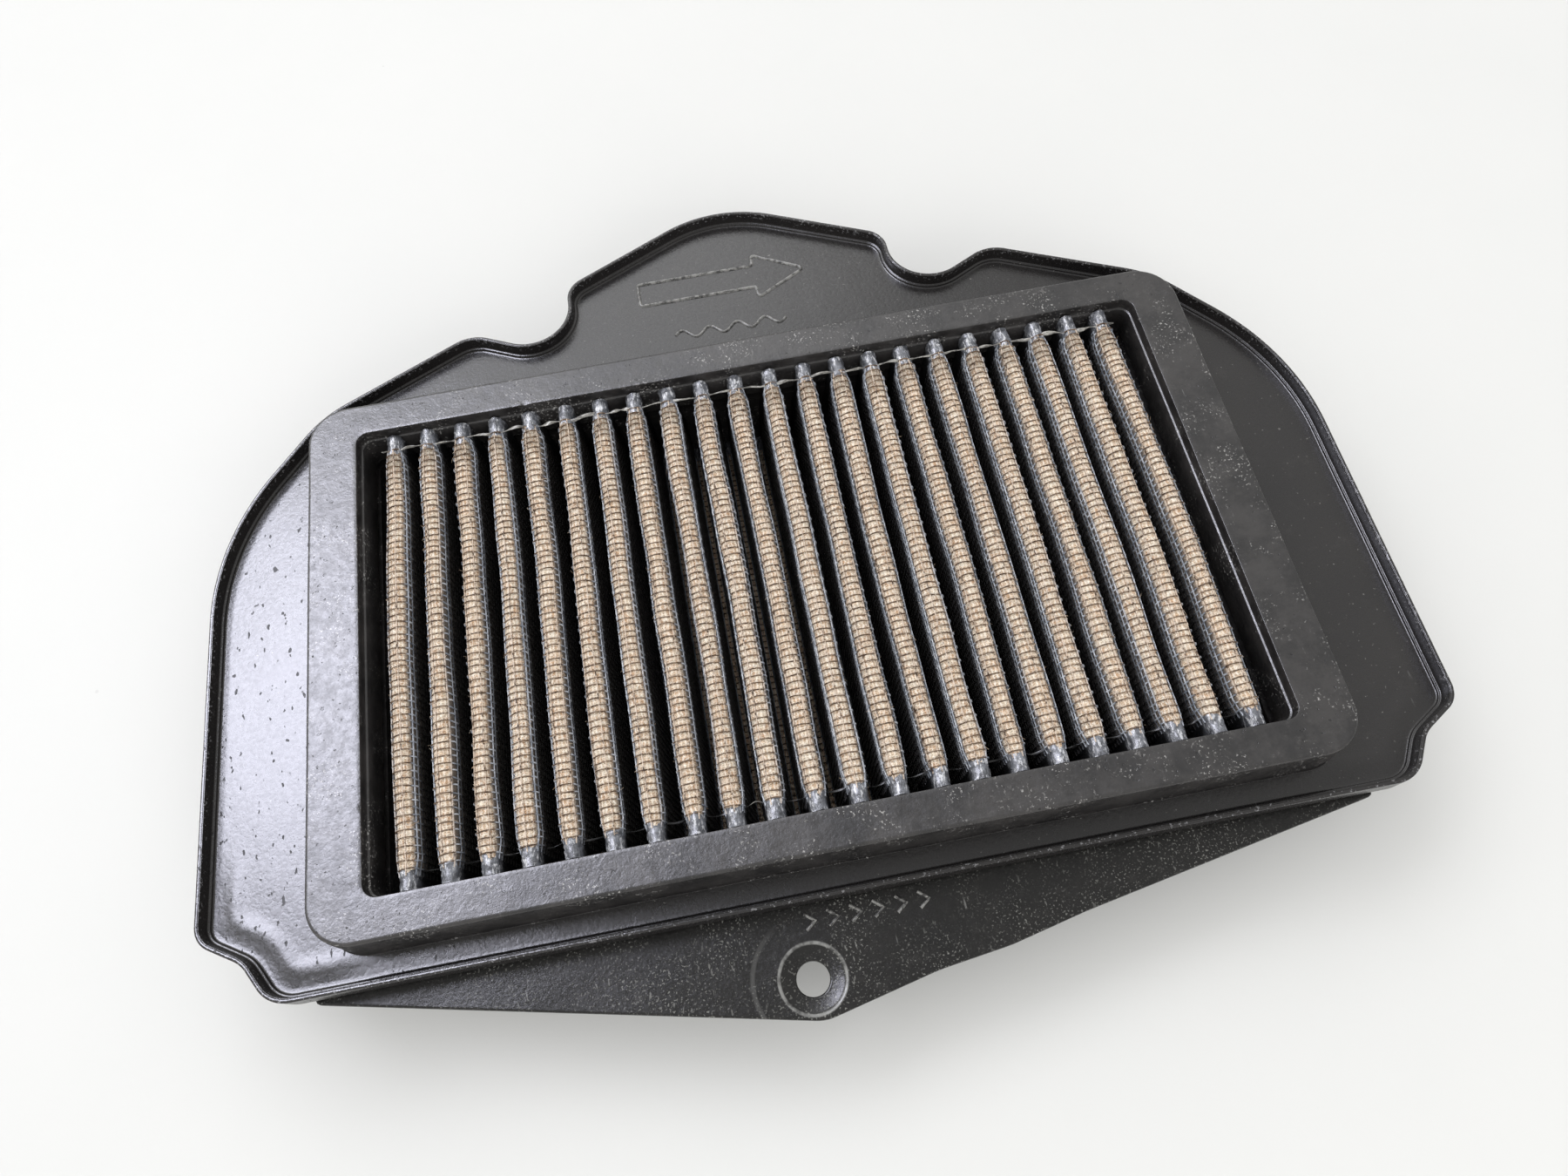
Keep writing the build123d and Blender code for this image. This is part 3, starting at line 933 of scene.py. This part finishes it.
def raised_line(path, width, height, floor, closed):
    """A low rounded ridge along a path on a floor."""
    path = np.array(path, float)
    ahead = np.roll(path, -1, 0) - path if closed else np.gradient(path, axis=0)
    behind = path - np.roll(path, 1, 0) if closed else ahead
    direction = ahead / np.linalg.norm(ahead, axis=1, keepdims=True)
    direction = direction + behind / np.linalg.norm(behind, axis=1, keepdims=True)
    direction /= np.linalg.norm(direction, axis=1, keepdims=True)
    side = np.column_stack([-direction[:, 1], direction[:, 0]])
    section = [(-0.5, -0.1), (-0.34, 0.6), (-0.12, 0.97), (0.12, 0.97), (0.34, 0.6), (0.5, -0.1)]
    points = np.array([
        (*(place + offset * width * across), floor + rise * height)
        for place, across in zip(path, side)
        for offset, rise in section
    ])
    columns = len(section)
    faces = ring_quads(len(path), columns).tolist()
    if closed:
        last = (len(path) - 1) * columns
        faces += [
            [last + k, last + (k + 1) % columns, (k + 1) % columns, k] for k in range(columns)
        ]
    else:
        faces.append(list(range(columns))[::-1])
        last = (len(path) - 1) * columns
        faces.append([last + k for k in range(columns)])
    return points, faces


def joined(parts):
    """Several (points, faces) as one."""
    points, faces, first = [], [], 0
    for some_points, some_faces in parts:
        points.append(some_points)
        faces += [[first + corner for corner in face] for face in some_faces]
        first += len(some_points)
    return np.concatenate(points), faces


def airflow_mark(material):
    """A plain block arrow over a wave, raised from the tray floor."""
    middle_x, middle_y_of_arrow = -2, 93.5
    tip, head, half_width, half_shaft = 23, 14, 7.5, 3.7
    corners = [
        (-tip, half_shaft, 0.6), (tip - head, half_shaft, 0.6), (tip - head, half_width, 0.8),
        (tip, 0, 0.8), (tip - head, -half_width, 0.8), (tip - head, -half_shaft, 0.6),
        (-tip, -half_shaft, 0.6),
    ]
    placed = [(x + middle_x, y + middle_y_of_arrow, radius) for x, y, radius in corners]
    outline, _ = rounded_outline(placed, 0.6)
    parts = [raised_line(outline, 1.0, 0.5, tray_floor, True)]
    wave_reach, wave_y, wave_height, wave_length = 15, 78, 1.3, 7.5
    wave = [
        (x + middle_x, wave_y + wave_height * sin(x * 2 * pi / wave_length))
        for x in np.linspace(-wave_reach, wave_reach, 90)
    ]
    parts.append(raised_line(wave, 0.9, 0.45, tray_floor, False))
    points, faces = joined(parts)
    return add_piece("airflow_mark", points, faces, material)


def tab_mark(material):
    """A row of small plain chevrons raised from the front plate."""
    chevron_count, pitch, first_x, y = 6, 4.9, -10.5, -75.3
    half_length, half_width, steps = 1.1, 1.7, 5
    parts = []
    for number in range(chevron_count):
        x = first_x + number * pitch
        path = [
            (x - half_length, y + half_width), (x + half_length, y), (x - half_length, y - half_width)
        ]
        fine = [
            np.array(a) + (np.array(b) - np.array(a)) * k / steps
            for a, b in zip(path, path[1:])
            for k in range(steps)
        ]
        fine.append(np.array(path[-1]))
        parts.append(raised_line(fine, 0.75, 0.42, tab_top - 0.04, False))
    points, faces = joined(parts)
    return add_piece("tab_mark", points, faces, material)


# ---------------------------------------------------------------- pleats

class Folds:
    """Samples of the folded line: arcs round crests and valleys, joined by legs.

    fine_crests picks the folds that show: the crests, seen from the lid side, or the
    valleys, seen from the base.  They get the close samples, the sway and the pinch,
    and the other folds stay straight.  So layers that differ in it can cross.
    """

    def __init__(self, steps_round, steps_leg, steps_far, fine_crests=True):
        self.crest_z = pleat_top - fold_radius - stack_thickness / 2
        self.valley_z = pleat_clearance + fold_radius + stack_thickness / 2
        across, down = pleat_pitch / 2, self.crest_z - self.valley_z
        self.lean = acos(2 * fold_radius / hypot(across, down)) - atan2(down, across)
        self.fine_crests = fine_crests
        self.steps = steps_round, steps_leg, steps_far
        self.base, self.normal, self.pleat, self.centre = [], [], [], []
        for number in range(-1, 2 * pleat_count):
            self.add_fold(number)
        self.base = np.array(self.base)
        self.normal = np.array(self.normal)
        self.pleat = np.array(self.pleat)
        self.centre = np.array(self.centre)
        height = self.crest_z - self.valley_z
        self.lift = np.clip((self.base[:, 1] - self.valley_z) / height, 0, 1)
        gaps = np.linalg.norm(np.diff(self.base, axis=0), axis=1)
        self.length = np.concatenate([[0], np.cumsum(gaps)])
        self.offset = self.length - np.array([self.fold_middle(owner) for owner in self.pleat])

    def fold_middle(self, number):
        """How far along the line a fold's middle is."""
        owned = np.flatnonzero(self.pleat == number)
        reach = np.abs(self.base[owned, 0] - self.centre[owned])
        return self.length[owned[np.argmin(reach)]]

    def add_fold(self, number):
        """One fold's arc, then the leg that leads to the next fold."""
        steps_round, steps_leg, steps_far = self.steps
        is_crest = number % 2 == 0
        x = (number - pleat_count + 1) * pleat_pitch / 2
        z = self.crest_z if is_crest else self.valley_z
        up = 1 if is_crest else -1
        steps = steps_round if is_crest == self.fine_crests else steps_far
        span = pi - 2 * self.lean
        first, last = 0, steps
        if number == -1:
            first = steps // 2
            self.add_sample((-bore_length / 2, z - fold_radius), (0, 1), number, x)
        if number == 2 * pleat_count - 1:
            last = steps // 2
        for step in range(first, last + 1):
            angle = pi - self.lean - span * step / steps
            normal = np.array([cos(angle), sin(angle)])
            if not is_crest:
                normal = np.array([-cos(angle), sin(angle)])
            reach = np.array([cos(angle), sin(angle) * up]) * fold_radius
            self.add_sample(np.array([x, z]) + reach, normal, number, x)
        if number == 2 * pleat_count - 1:
            self.add_sample((bore_length / 2, z - fold_radius), (0, 1), number, x)
            return
        self.add_leg(number, x, is_crest, steps_leg)

    def add_leg(self, number, x, is_crest, steps):
        """Samples down or up a leg, closer together near the fold that shows."""
        start = np.array(self.base[-1])
        next_x, up = x + pleat_pitch / 2, -1 if is_crest else 1
        next_z = self.valley_z if is_crest else self.crest_z
        angle = pi - self.lean
        end = np.array([next_x, next_z]) + fold_radius * np.array([cos(angle), sin(angle) * up])
        normal = np.array(self.normal[-1])
        starts_fine = is_crest == self.fine_crests
        for step in range(1, steps):
            share = (step / steps) ** 1.7
            if not starts_fine:
                share = 1 - (1 - step / steps) ** 1.7
            owner = number if share < 0.5 else number + 1
            centre = x if share < 0.5 else next_x
            self.add_sample(start + (end - start) * share, normal, owner, centre)

    def add_sample(self, place, normal, number, centre):
        self.base.append(tuple(place))
        self.normal.append(tuple(normal))
        self.pleat.append(number)
        self.centre.append(centre)

    def surface(self, side, y, width=1.0):
        """Points of the line at side, at each y: an array (y, sample, 3)."""
        y = np.asarray(y, float)[:, None]
        x = self.base[:, 0] + np.asarray(side) * self.normal[:, 0]
        z = self.base[:, 1] + np.asarray(side) * self.normal[:, 1]
        x, z = np.broadcast_to(x, (len(y), x.shape[-1])), np.broadcast_to(z, (len(y), z.shape[-1]))
        sway, rise, spread = pleat_shape(self.centre[None, :], y)
        grip = pinch(y)
        shown = self.lift if self.fine_crests else 1 - self.lift
        outward = 1 if self.fine_crests else -1
        peak = (self.crest_z if self.fine_crests else self.valley_z) + outward * fold_radius
        below_peak = np.clip(outward * (peak - z) + np.abs(side), 0, fold_radius + np.abs(side))
        local = (x - self.centre) * (spread * width * grip - 1) * shown ** 2
        moved_x = x + sway * shown + local
        moved_z = z + outward * (rise + (1 - grip) * below_peak) * shown ** 2
        y = np.broadcast_to(y, moved_x.shape)
        return np.stack([moved_x, y, moved_z], -1)


def pleat_shape(centre, y):
    """Each pleat's sideways sway, rise and width, by its middle x and by y."""
    place = np.stack(np.broadcast_arrays(centre * 2.3, y), -1)
    sway = 0.20 * ripple(place, 75, 51) + 0.07 * ripple(place, 22, 52)
    rise = 0.10 * ripple(place, 60, 53) - 0.14
    spread = 1.0 + 0.05 * ripple(place, 50, 54)
    return sway, rise, spread


def pleat_end(y):
    """Where the screens stop: a little nearer the wall at the front than at the back."""
    return np.where(np.asarray(y) < 0, media_end + 1.3, media_end)


def pinch(y):
    """How wide a pleat is at y, from 1 in the middle to its pinched ends."""
    start, length, narrow = pleat_end(y) - 1.9, 2.6, 0.76
    share = np.clip((np.abs(y) - start) / length, 0, 1)
    return 1 - (1 - narrow) * share ** 2 * (3 - 2 * share)


def gauze_layer(number, material):
    """One folded sheet of gauze; the outer two puff out between the wires."""
    puff_height, crumple_height, stand_off = 0.06, 0.07, 0.04
    end_overlap, row_spacing = 0.3, 0.4
    seen_top, seen_below = number == gauze_layers, number == 1
    side = -stack_thickness / 2 + screen_thickness + (number - 0.5) * gauze_thickness
    if seen_top or seen_below:
        folds = Folds(12, 7, 4, fine_crests=seen_top)
        y = np.arange(-pleat_end(-1) - end_overlap, pleat_end(1) + end_overlap, row_spacing)
    else:
        folds = Folds(6, 3, 4)
        y = np.linspace(-media_end, media_end, 41)
    outward = 1 if seen_top else -1
    half = gauze_thickness / 2 * 0.9  # a little thinner, for air between the layers
    width = gauze_width if seen_top else 1.0
    front = folds.surface(side + outward * half, y, width)
    back = folds.surface(side - outward * half, y, width)
    if seen_top or seen_below:
        puff = puff_height * np.abs(np.sin(pi * y / wire_pitch_y))[:, None]
        place = np.stack(np.broadcast_arrays(folds.length, y[:, None]), -1)
        puff = puff + crumple_height * ripple(place, 2.0, 60 + number) + stand_off
        front[..., 0] += outward * puff * folds.normal[:, 0]
        front[..., 2] += outward * puff * folds.normal[:, 1]
    rows, columns = front.shape[:2]
    points = np.concatenate([front.reshape(-1, 3), back.reshape(-1, 3)])
    faces = closed_sheet(rows, columns, outward > 0)
    uv = np.stack(np.broadcast_arrays(folds.offset, y[:, None]), -1).reshape(-1, 2)
    name = f"gauze_sheet_{number}"
    piece = add_piece(
        name, points, faces, material, [f"gauze_layer_{number}"],
        uv=np.concatenate([uv, uv]),
    )
    return piece


def closed_sheet(rows, columns, front_first):
    """Faces of two grids of points, front and back, closed round their edges."""
    count = rows * columns
    front = ring_quads(rows, columns, 0, wrap=False)
    back = ring_quads(rows, columns, count, wrap=False)[:, ::-1]
    edge = list(range(columns)) + [r * columns + columns - 1 for r in range(1, rows)]
    edge += [(rows - 1) * columns + c for c in range(columns - 2, -1, -1)]
    edge += [r * columns for r in range(rows - 2, 0, -1)]
    edge = np.array(edge)
    after = np.roll(edge, -1)
    sides = np.stack([after, edge, edge + count, after + count], 1)
    faces = np.concatenate([front, back, sides])
    return faces if front_first else faces[:, ::-1]


def screen_wires(name, node, top, material):
    """A woven screen: wires round the pleats, and straighter wires along them."""
    direction = 1 if top else -1
    folds = Folds(14, 26, 4, fine_crests=top)
    side = direction * screen_middle
    overlap = 0.7  # of the wires into the resin
    front, back = pleat_end(-1) + overlap, pleat_end(1) + overlap
    y = np.arange(-floor_to(front, wire_pitch_y), back, wire_pitch_y)
    depth = np.clip((folds.lift if top else 1 - folds.lift) * 3.2 - 1.9, 0, 1)
    crossing = np.cos(pi * folds.length / wire_pitch_round)
    alternate = np.where(np.arange(len(y)) % 2, 1, -1)[:, None]
    weave = side + weave_depth * depth * crossing * alternate
    paths = folds_at(folds, weave, y)
    place = np.stack(np.broadcast_arrays(folds.length, y[:, None]), -1)
    paths[..., 1] += 0.08 * ripple(place, 9, 71) + 0.07 * ripple(place, 4, 72)
    outward = np.zeros_like(paths)
    outward[..., 0], outward[..., 2] = folds.normal[:, 0], folds.normal[:, 1]
    along = np.zeros_like(paths)
    along[..., 1] = 1
    round_points, round_faces = tubes(paths, along, outward, wire_radius)
    kind = np.zeros((len(y), len(folds.offset), len(round_points) // paths[..., 0].size, 2))
    kind[..., 1] = folds.offset[:, None]
    kind = kind.reshape(-1, 2)
    add_piece(
        f"{name}_round", round_points, round_faces, material, [node], uv=kind
    )
    along_wires(name, folds, side, -front, back, material)


def floor_to(value, step):
    return int(value / step) * step


def folds_at(folds, sides, y):
    """Like Folds.surface, with its own side for every y and sample."""
    rows = [folds.surface(sides[k], y[k:k + 1], screen_width)[0] for k in range(len(y))]
    return np.stack(rows)


def along_wires(name, folds, side, front, back, material):
    """The wires that run along the pleats, at even steps round the folds."""
    places = np.arange(wire_pitch_round / 2, folds.length[-1], wire_pitch_round)
    y = np.linspace(front, back, 29)
    sheet = folds.surface(side, y, screen_width)
    paths, across = [], []
    normals = np.column_stack([folds.normal[:, 0], 0 * folds.normal[:, 0], folds.normal[:, 1]])
    for place in places:
        right = int(np.searchsorted(folds.length, place))
        share = (place - folds.length[right - 1]) / (folds.length[right] - folds.length[right - 1])
        paths.append(sheet[:, right - 1] * (1 - share) + sheet[:, right] * share)
        normal = unit(normals[right - 1] * (1 - share) + normals[right] * share)
        across.append(np.broadcast_to(normal, (len(y), 3)))
    paths, across = np.array(paths), np.array(across)
    beside = np.stack([-across[..., 2], 0 * across[..., 1], across[..., 0]], -1)
    points, faces = tubes(paths, beside, across, wire_radius * 0.95)
    kind = np.ones((len(places), len(points) // len(places), 2))
    kind[..., 1] = np.interp(places, folds.length, folds.offset)[:, None]
    kind = kind.reshape(-1, 2)
    add_piece(f"{name}_along", points, faces, material, uv=kind)


def end_caps(name, node, sign, material):
    """The resin-soaked, pinched ends of all the pleats, one rippled folded strip."""
    folds = Folds(12, 9, 5)
    distance = np.array([0.0, 0.25, 0.6, 1.0, 1.5, 2.0, 2.6, 3.2, 3.8, 4.3, 4.8, 5.2, 5.6])
    reach_back, wall_gap = 0.6, 0.02
    y = sign * (pleat_end(sign) - reach_back + distance)
    y = np.clip(y, -wall_y + wall_gap, wall_y - wall_gap)
    half_thickness = np.interp(distance, [0, 0.5, 1.4], [0.60, 0.74, 0.76])[:, None]
    top = folds.surface(0, y)
    low = top.copy()
    place = np.stack(np.broadcast_arrays(folds.length, y[:, None]), -1)
    lumps = 0.11 * ripple(place, 1.5, 81) + 0.08 * ripple(place, 4, 82)
    ragged = 0.35 * ripple(folds.length[:, None], 2.2, 83)
    top[..., 0] += (half_thickness + lumps) * folds.normal[:, 0]
    top[..., 2] += (half_thickness + lumps) * folds.normal[:, 1]
    low[..., 0] -= (half_thickness + 0.5 * lumps) * folds.normal[:, 0]
    low[..., 2] -= (half_thickness + 0.5 * lumps) * folds.normal[:, 1]
    fade = np.clip(1 - distance / 1.5, 0, 1)[:, None]
    top[..., 1] += sign * ragged * fade
    low[..., 1] += sign * ragged * fade
    rows, columns = top.shape[:2]
    points = np.concatenate([top.reshape(-1, 3), low.reshape(-1, 3)])
    points[:, 2] = np.clip(points[:, 2], pleat_clearance, pleat_top)
    faces = closed_sheet(rows, columns, sign > 0)
    add_piece(name, points, faces, material, [node])


def twisted_thread(name, node, lift, half_width, material, seed):
    """A flat twisted thread across the pleats, bowing a little in each gap."""
    low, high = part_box(node)
    start, end = low.x / MM, high.x / MM
    y0 = (low.y + high.y) / 2 / MM - middle_y
    z0 = (low.z + high.z) / 2 / MM
    point_count, flatness = 900, 0.28
    x = np.linspace(start, end, point_count)
    gap = np.abs(((x / pleat_pitch + 0.5 * (pleat_count + 1)) % 1) - 0.5) * 2
    bow = 1 - gap ** 2
    path = np.stack([x, np.full_like(x, y0), np.full_like(x, z0)], -1)
    path[:, 1] += 0.22 * ripple(x[:, None], 17, seed) + 0.12 * ripple(x[:, None], 6, seed + 1)
    path[:, 2] += 0.22 * ripple(x[:, None], 13, seed + 2) + lift(x) * bow
    turn = x * 0.42 + 1.2 * ripple(x[:, None], 20, seed + 3)
    flat_way = np.stack([0 * x, np.cos(turn), np.sin(turn)], -1)
    thin_way = np.stack([0 * x, -np.sin(turn), np.cos(turn)], -1)
    width = half_width * (1 + 0.33 * ripple(x[:, None], 7, seed + 4))
    wide = width[None, :, None] * flat_way[None]
    thick = flatness * half_width * thin_way[None]
    points, faces = tubes(path[None], wide, thick, 1.0, sides=8)
    add_piece(name, points, faces, material, [node])


def rear_lift(x):
    return np.full_like(x, 0.12)


def front_lift(x):
    """The front thread lies deep, and stands up in one gap."""
    depth, loop_x, loop_width, loop_height = -2.6, -17.2, 1.9, 4.6
    return depth + loop_height * np.exp(-((x - loop_x) / loop_width) ** 2)


def loose_fibres(material):
    """Cotton hairs: short ones that stick out of the pleats, and fuzz that lies on the wires."""
    rng = np.random.default_rng(91)
    on_top = fibre_paths(rng, 6000, reach=0.85, stand=0.04)
    stray = fibre_paths(rng, 420, reach=2.0, stand=0.7)
    for name, paths, radius in (("lying_fuzz", on_top, 0.045), ("loose_fibres", stray, 0.022)):
        ahead = np.gradient(paths, axis=1)
        ahead /= np.linalg.norm(ahead, axis=-1, keepdims=True)
        across = np.cross(ahead, [0.3, 0.2, 0.93])
        across /= np.linalg.norm(across, axis=-1, keepdims=True)
        up = np.cross(across, ahead)
        points, faces = tubes(paths, across, up, radius, sides=3)
        uv = np.zeros((len(points), 2))
        add_piece(name, points, faces, material, uv=uv)


def fibre_paths(rng, count, reach, stand):
    """Curly hairs round the pleats' crests, up to reach radians from their middles."""
    steps, root_depth, fibre_clearance = 6, 0.14, 0.3
    centre = (rng.integers(0, pleat_count, count) - (pleat_count - 1) / 2) * pleat_pitch
    y = rng.uniform(-media_end, media_end, count)
    angle = rng.uniform(-reach, reach, count)
    radius = fold_radius + stack_thickness / 2
    sway, rise, spread = pleat_shape(centre, y)
    around = np.stack([np.cos(angle), 0 * angle, -np.sin(angle)], -1)
    outward = np.stack([np.sin(angle), 0 * angle, np.cos(angle)], -1)
    hub = np.stack([centre + sway, y, pleat_top - radius + rise], -1)
    wide = radius * spread * screen_width * pinch(y)
    start = hub + outward * np.stack([wide, wide, 0 * y + radius], -1) - root_depth * outward
    turn = rng.uniform(0, 2 * pi, count)
    along = np.array([0.0, 1.0, 0.0])
    heading = around * np.cos(turn)[:, None] + along * np.sin(turn)[:, None]
    heading = heading + stand * outward
    curl = around * rng.normal(0, 1, (count, 1)) + along * rng.normal(0, 1, (count, 1))
    length = rng.uniform(0.3, 0.8, count)[:, None, None]
    share = np.linspace(0, 1, steps)[None, :, None]
    paths = start[:, None] + length * (
        heading[:, None] * share + 0.6 * curl[:, None] * share ** 2
    )
    paths[..., 2] = np.minimum(paths[..., 2], total_height - fibre_clearance)
    return paths


# ---------------------------------------------------------------- stage

camera_lens = 23.41
camera_place = (-0.01164, -0.10907, 0.24500)
camera_turn = (24.117, 2.237, -10.515)  # degrees


def build_camera():
    data = bpy.data.cameras.new("camera")
    data.sensor_width = 36.0
    data.lens = camera_lens
    data.clip_start = 0.01
    camera = bpy.data.objects.new("camera", data)
    camera.location = camera_place
    camera.rotation_euler = Euler([radians(angle) for angle in camera_turn], "XYZ")
    bpy.context.scene.collection.objects.link(camera)
    bpy.context.scene.camera = camera


def area_light(name, azimuth, elevation, distance, width, height, power, colour):
    """A rectangular light that looks at the middle of the object."""
    a, e = radians(azimuth), radians(elevation)
    away = Vector((cos(e) * cos(a), cos(e) * sin(a), sin(e)))
    data = bpy.data.lights.new(name, "AREA")
    data.shape = "RECTANGLE"
    data.size = width
    data.size_y = height
    data.energy = power
    data.color = colour
    light = bpy.data.objects.new(name, data)
    light.location = away * distance
    light.rotation_euler = away.to_track_quat("Z", "Y").to_euler()
    bpy.context.scene.collection.objects.link(light)
    return light


def spread_range(tree, value, given, wanted):
    """Value's range given, spread evenly over the range wanted."""
    node = tree.nodes.new("ShaderNodeMapRange")
    tree.links.new(value, node.inputs["Value"])
    for key, number in zip(("From Min", "From Max", "To Min", "To Max"), (*given, *wanted)):
        node.inputs[key].default_value = number
    return node.outputs["Result"]


def build_sky():
    """A soft white sky, brighter toward the window and darker straight overhead."""
    world = bpy.data.worlds.new("sky")
    world.use_nodes = True
    tree = world.node_tree
    heading = tree.nodes.new("ShaderNodeTexCoord").outputs["Generated"]
    toward = tree.nodes.new("ShaderNodeVectorMath")
    toward.operation = "DOT_PRODUCT"
    toward.inputs[1].default_value = (-0.54, 0.45, 0.71)
    tree.links.new(heading, toward.inputs[0])
    spread = spread_range(tree, toward.outputs["Value"], (-0.3, 0.9), (0.64, 1.18))
    height = tree.nodes.new("ShaderNodeSeparateXYZ")
    tree.links.new(heading, height.inputs[0])
    overhead = spread_range(tree, height.outputs["Z"], (0.88, 0.97), (1.0, 0.62))
    strength = tree.nodes.new("ShaderNodeMath")
    strength.operation = "MULTIPLY"
    tree.links.new(spread, strength.inputs[0])
    tree.links.new(overhead, strength.inputs[1])
    background = tree.nodes["Background"]
    background.inputs["Color"].default_value = (1.0, 0.995, 0.98, 1)
    tree.links.new(strength.outputs["Value"], background.inputs["Strength"])
    bpy.context.scene.world = world


def build_stage():
    """Pale floor, a window and a lamp at the back left, a weak light in front, and the sky."""
    bpy.ops.mesh.primitive_plane_add(size=6, location=(0, 0, 0))
    floor = bpy.context.object
    floor.name = "floor"
    floor.data.materials.append(floor_material())
    area_light(
        "window", azimuth=114, elevation=49, distance=1.8,
        width=1.75, height=0.75, power=10.0, colour=(0.97, 0.98, 1.0),
    )
    lamp = area_light(
        "lamp", azimuth=147, elevation=56, distance=1.0,
        width=0.44, height=0.42, power=14.5, colour=(0.84, 0.85, 1.0),
    )
    lamp.visible_diffuse = False
    fill = area_light(
        "fill", azimuth=-80, elevation=28, distance=1.5,
        width=1.2, height=0.9, power=8.5, colour=(1.0, 1.0, 0.97),
    )
    fill.visible_glossy = False
    build_sky()
    bpy.context.scene.view_settings.view_transform = "Standard"


def build_object():
    tray, collar, tab = tray_material(), collar_material(), tab_material()
    gauze, wire = gauze_material(), wire_material()
    resin, thread = resin_material(), thread_material()
    tray_shell(tray)
    upper_collar_skin(collar)
    lower_collar_skin(collar)
    tab_body(tab)
    tab_land(tab)
    mark = mark_material()
    airflow_mark(mark)
    tab_mark(mark)
    for number in range(1, gauze_layers + 1):
        gauze_layer(number, gauze)
    screen_wires("upper_screen", "upper_wire_screen", True, wire)
    screen_wires("lower_screen", "lower_wire_screen", False, wire)
    end_caps("rear_caps", "rear_end_seal", 1, resin)
    end_caps("front_caps", "front_end_seal", -1, resin)
    twisted_thread("rear_thread", "rear_pleat_thread", rear_lift, 0.38, thread, seed=101)
    twisted_thread("front_thread", "front_pleat_thread", front_lift, 0.20, thread, seed=111)
    loose_fibres(gauze)
    for name in ("left_edge_seal", "right_edge_seal"):
        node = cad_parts[name]
        node.data.materials.clear()
        node.data.materials.append(resin)


build_camera()
build_stage()
build_object()
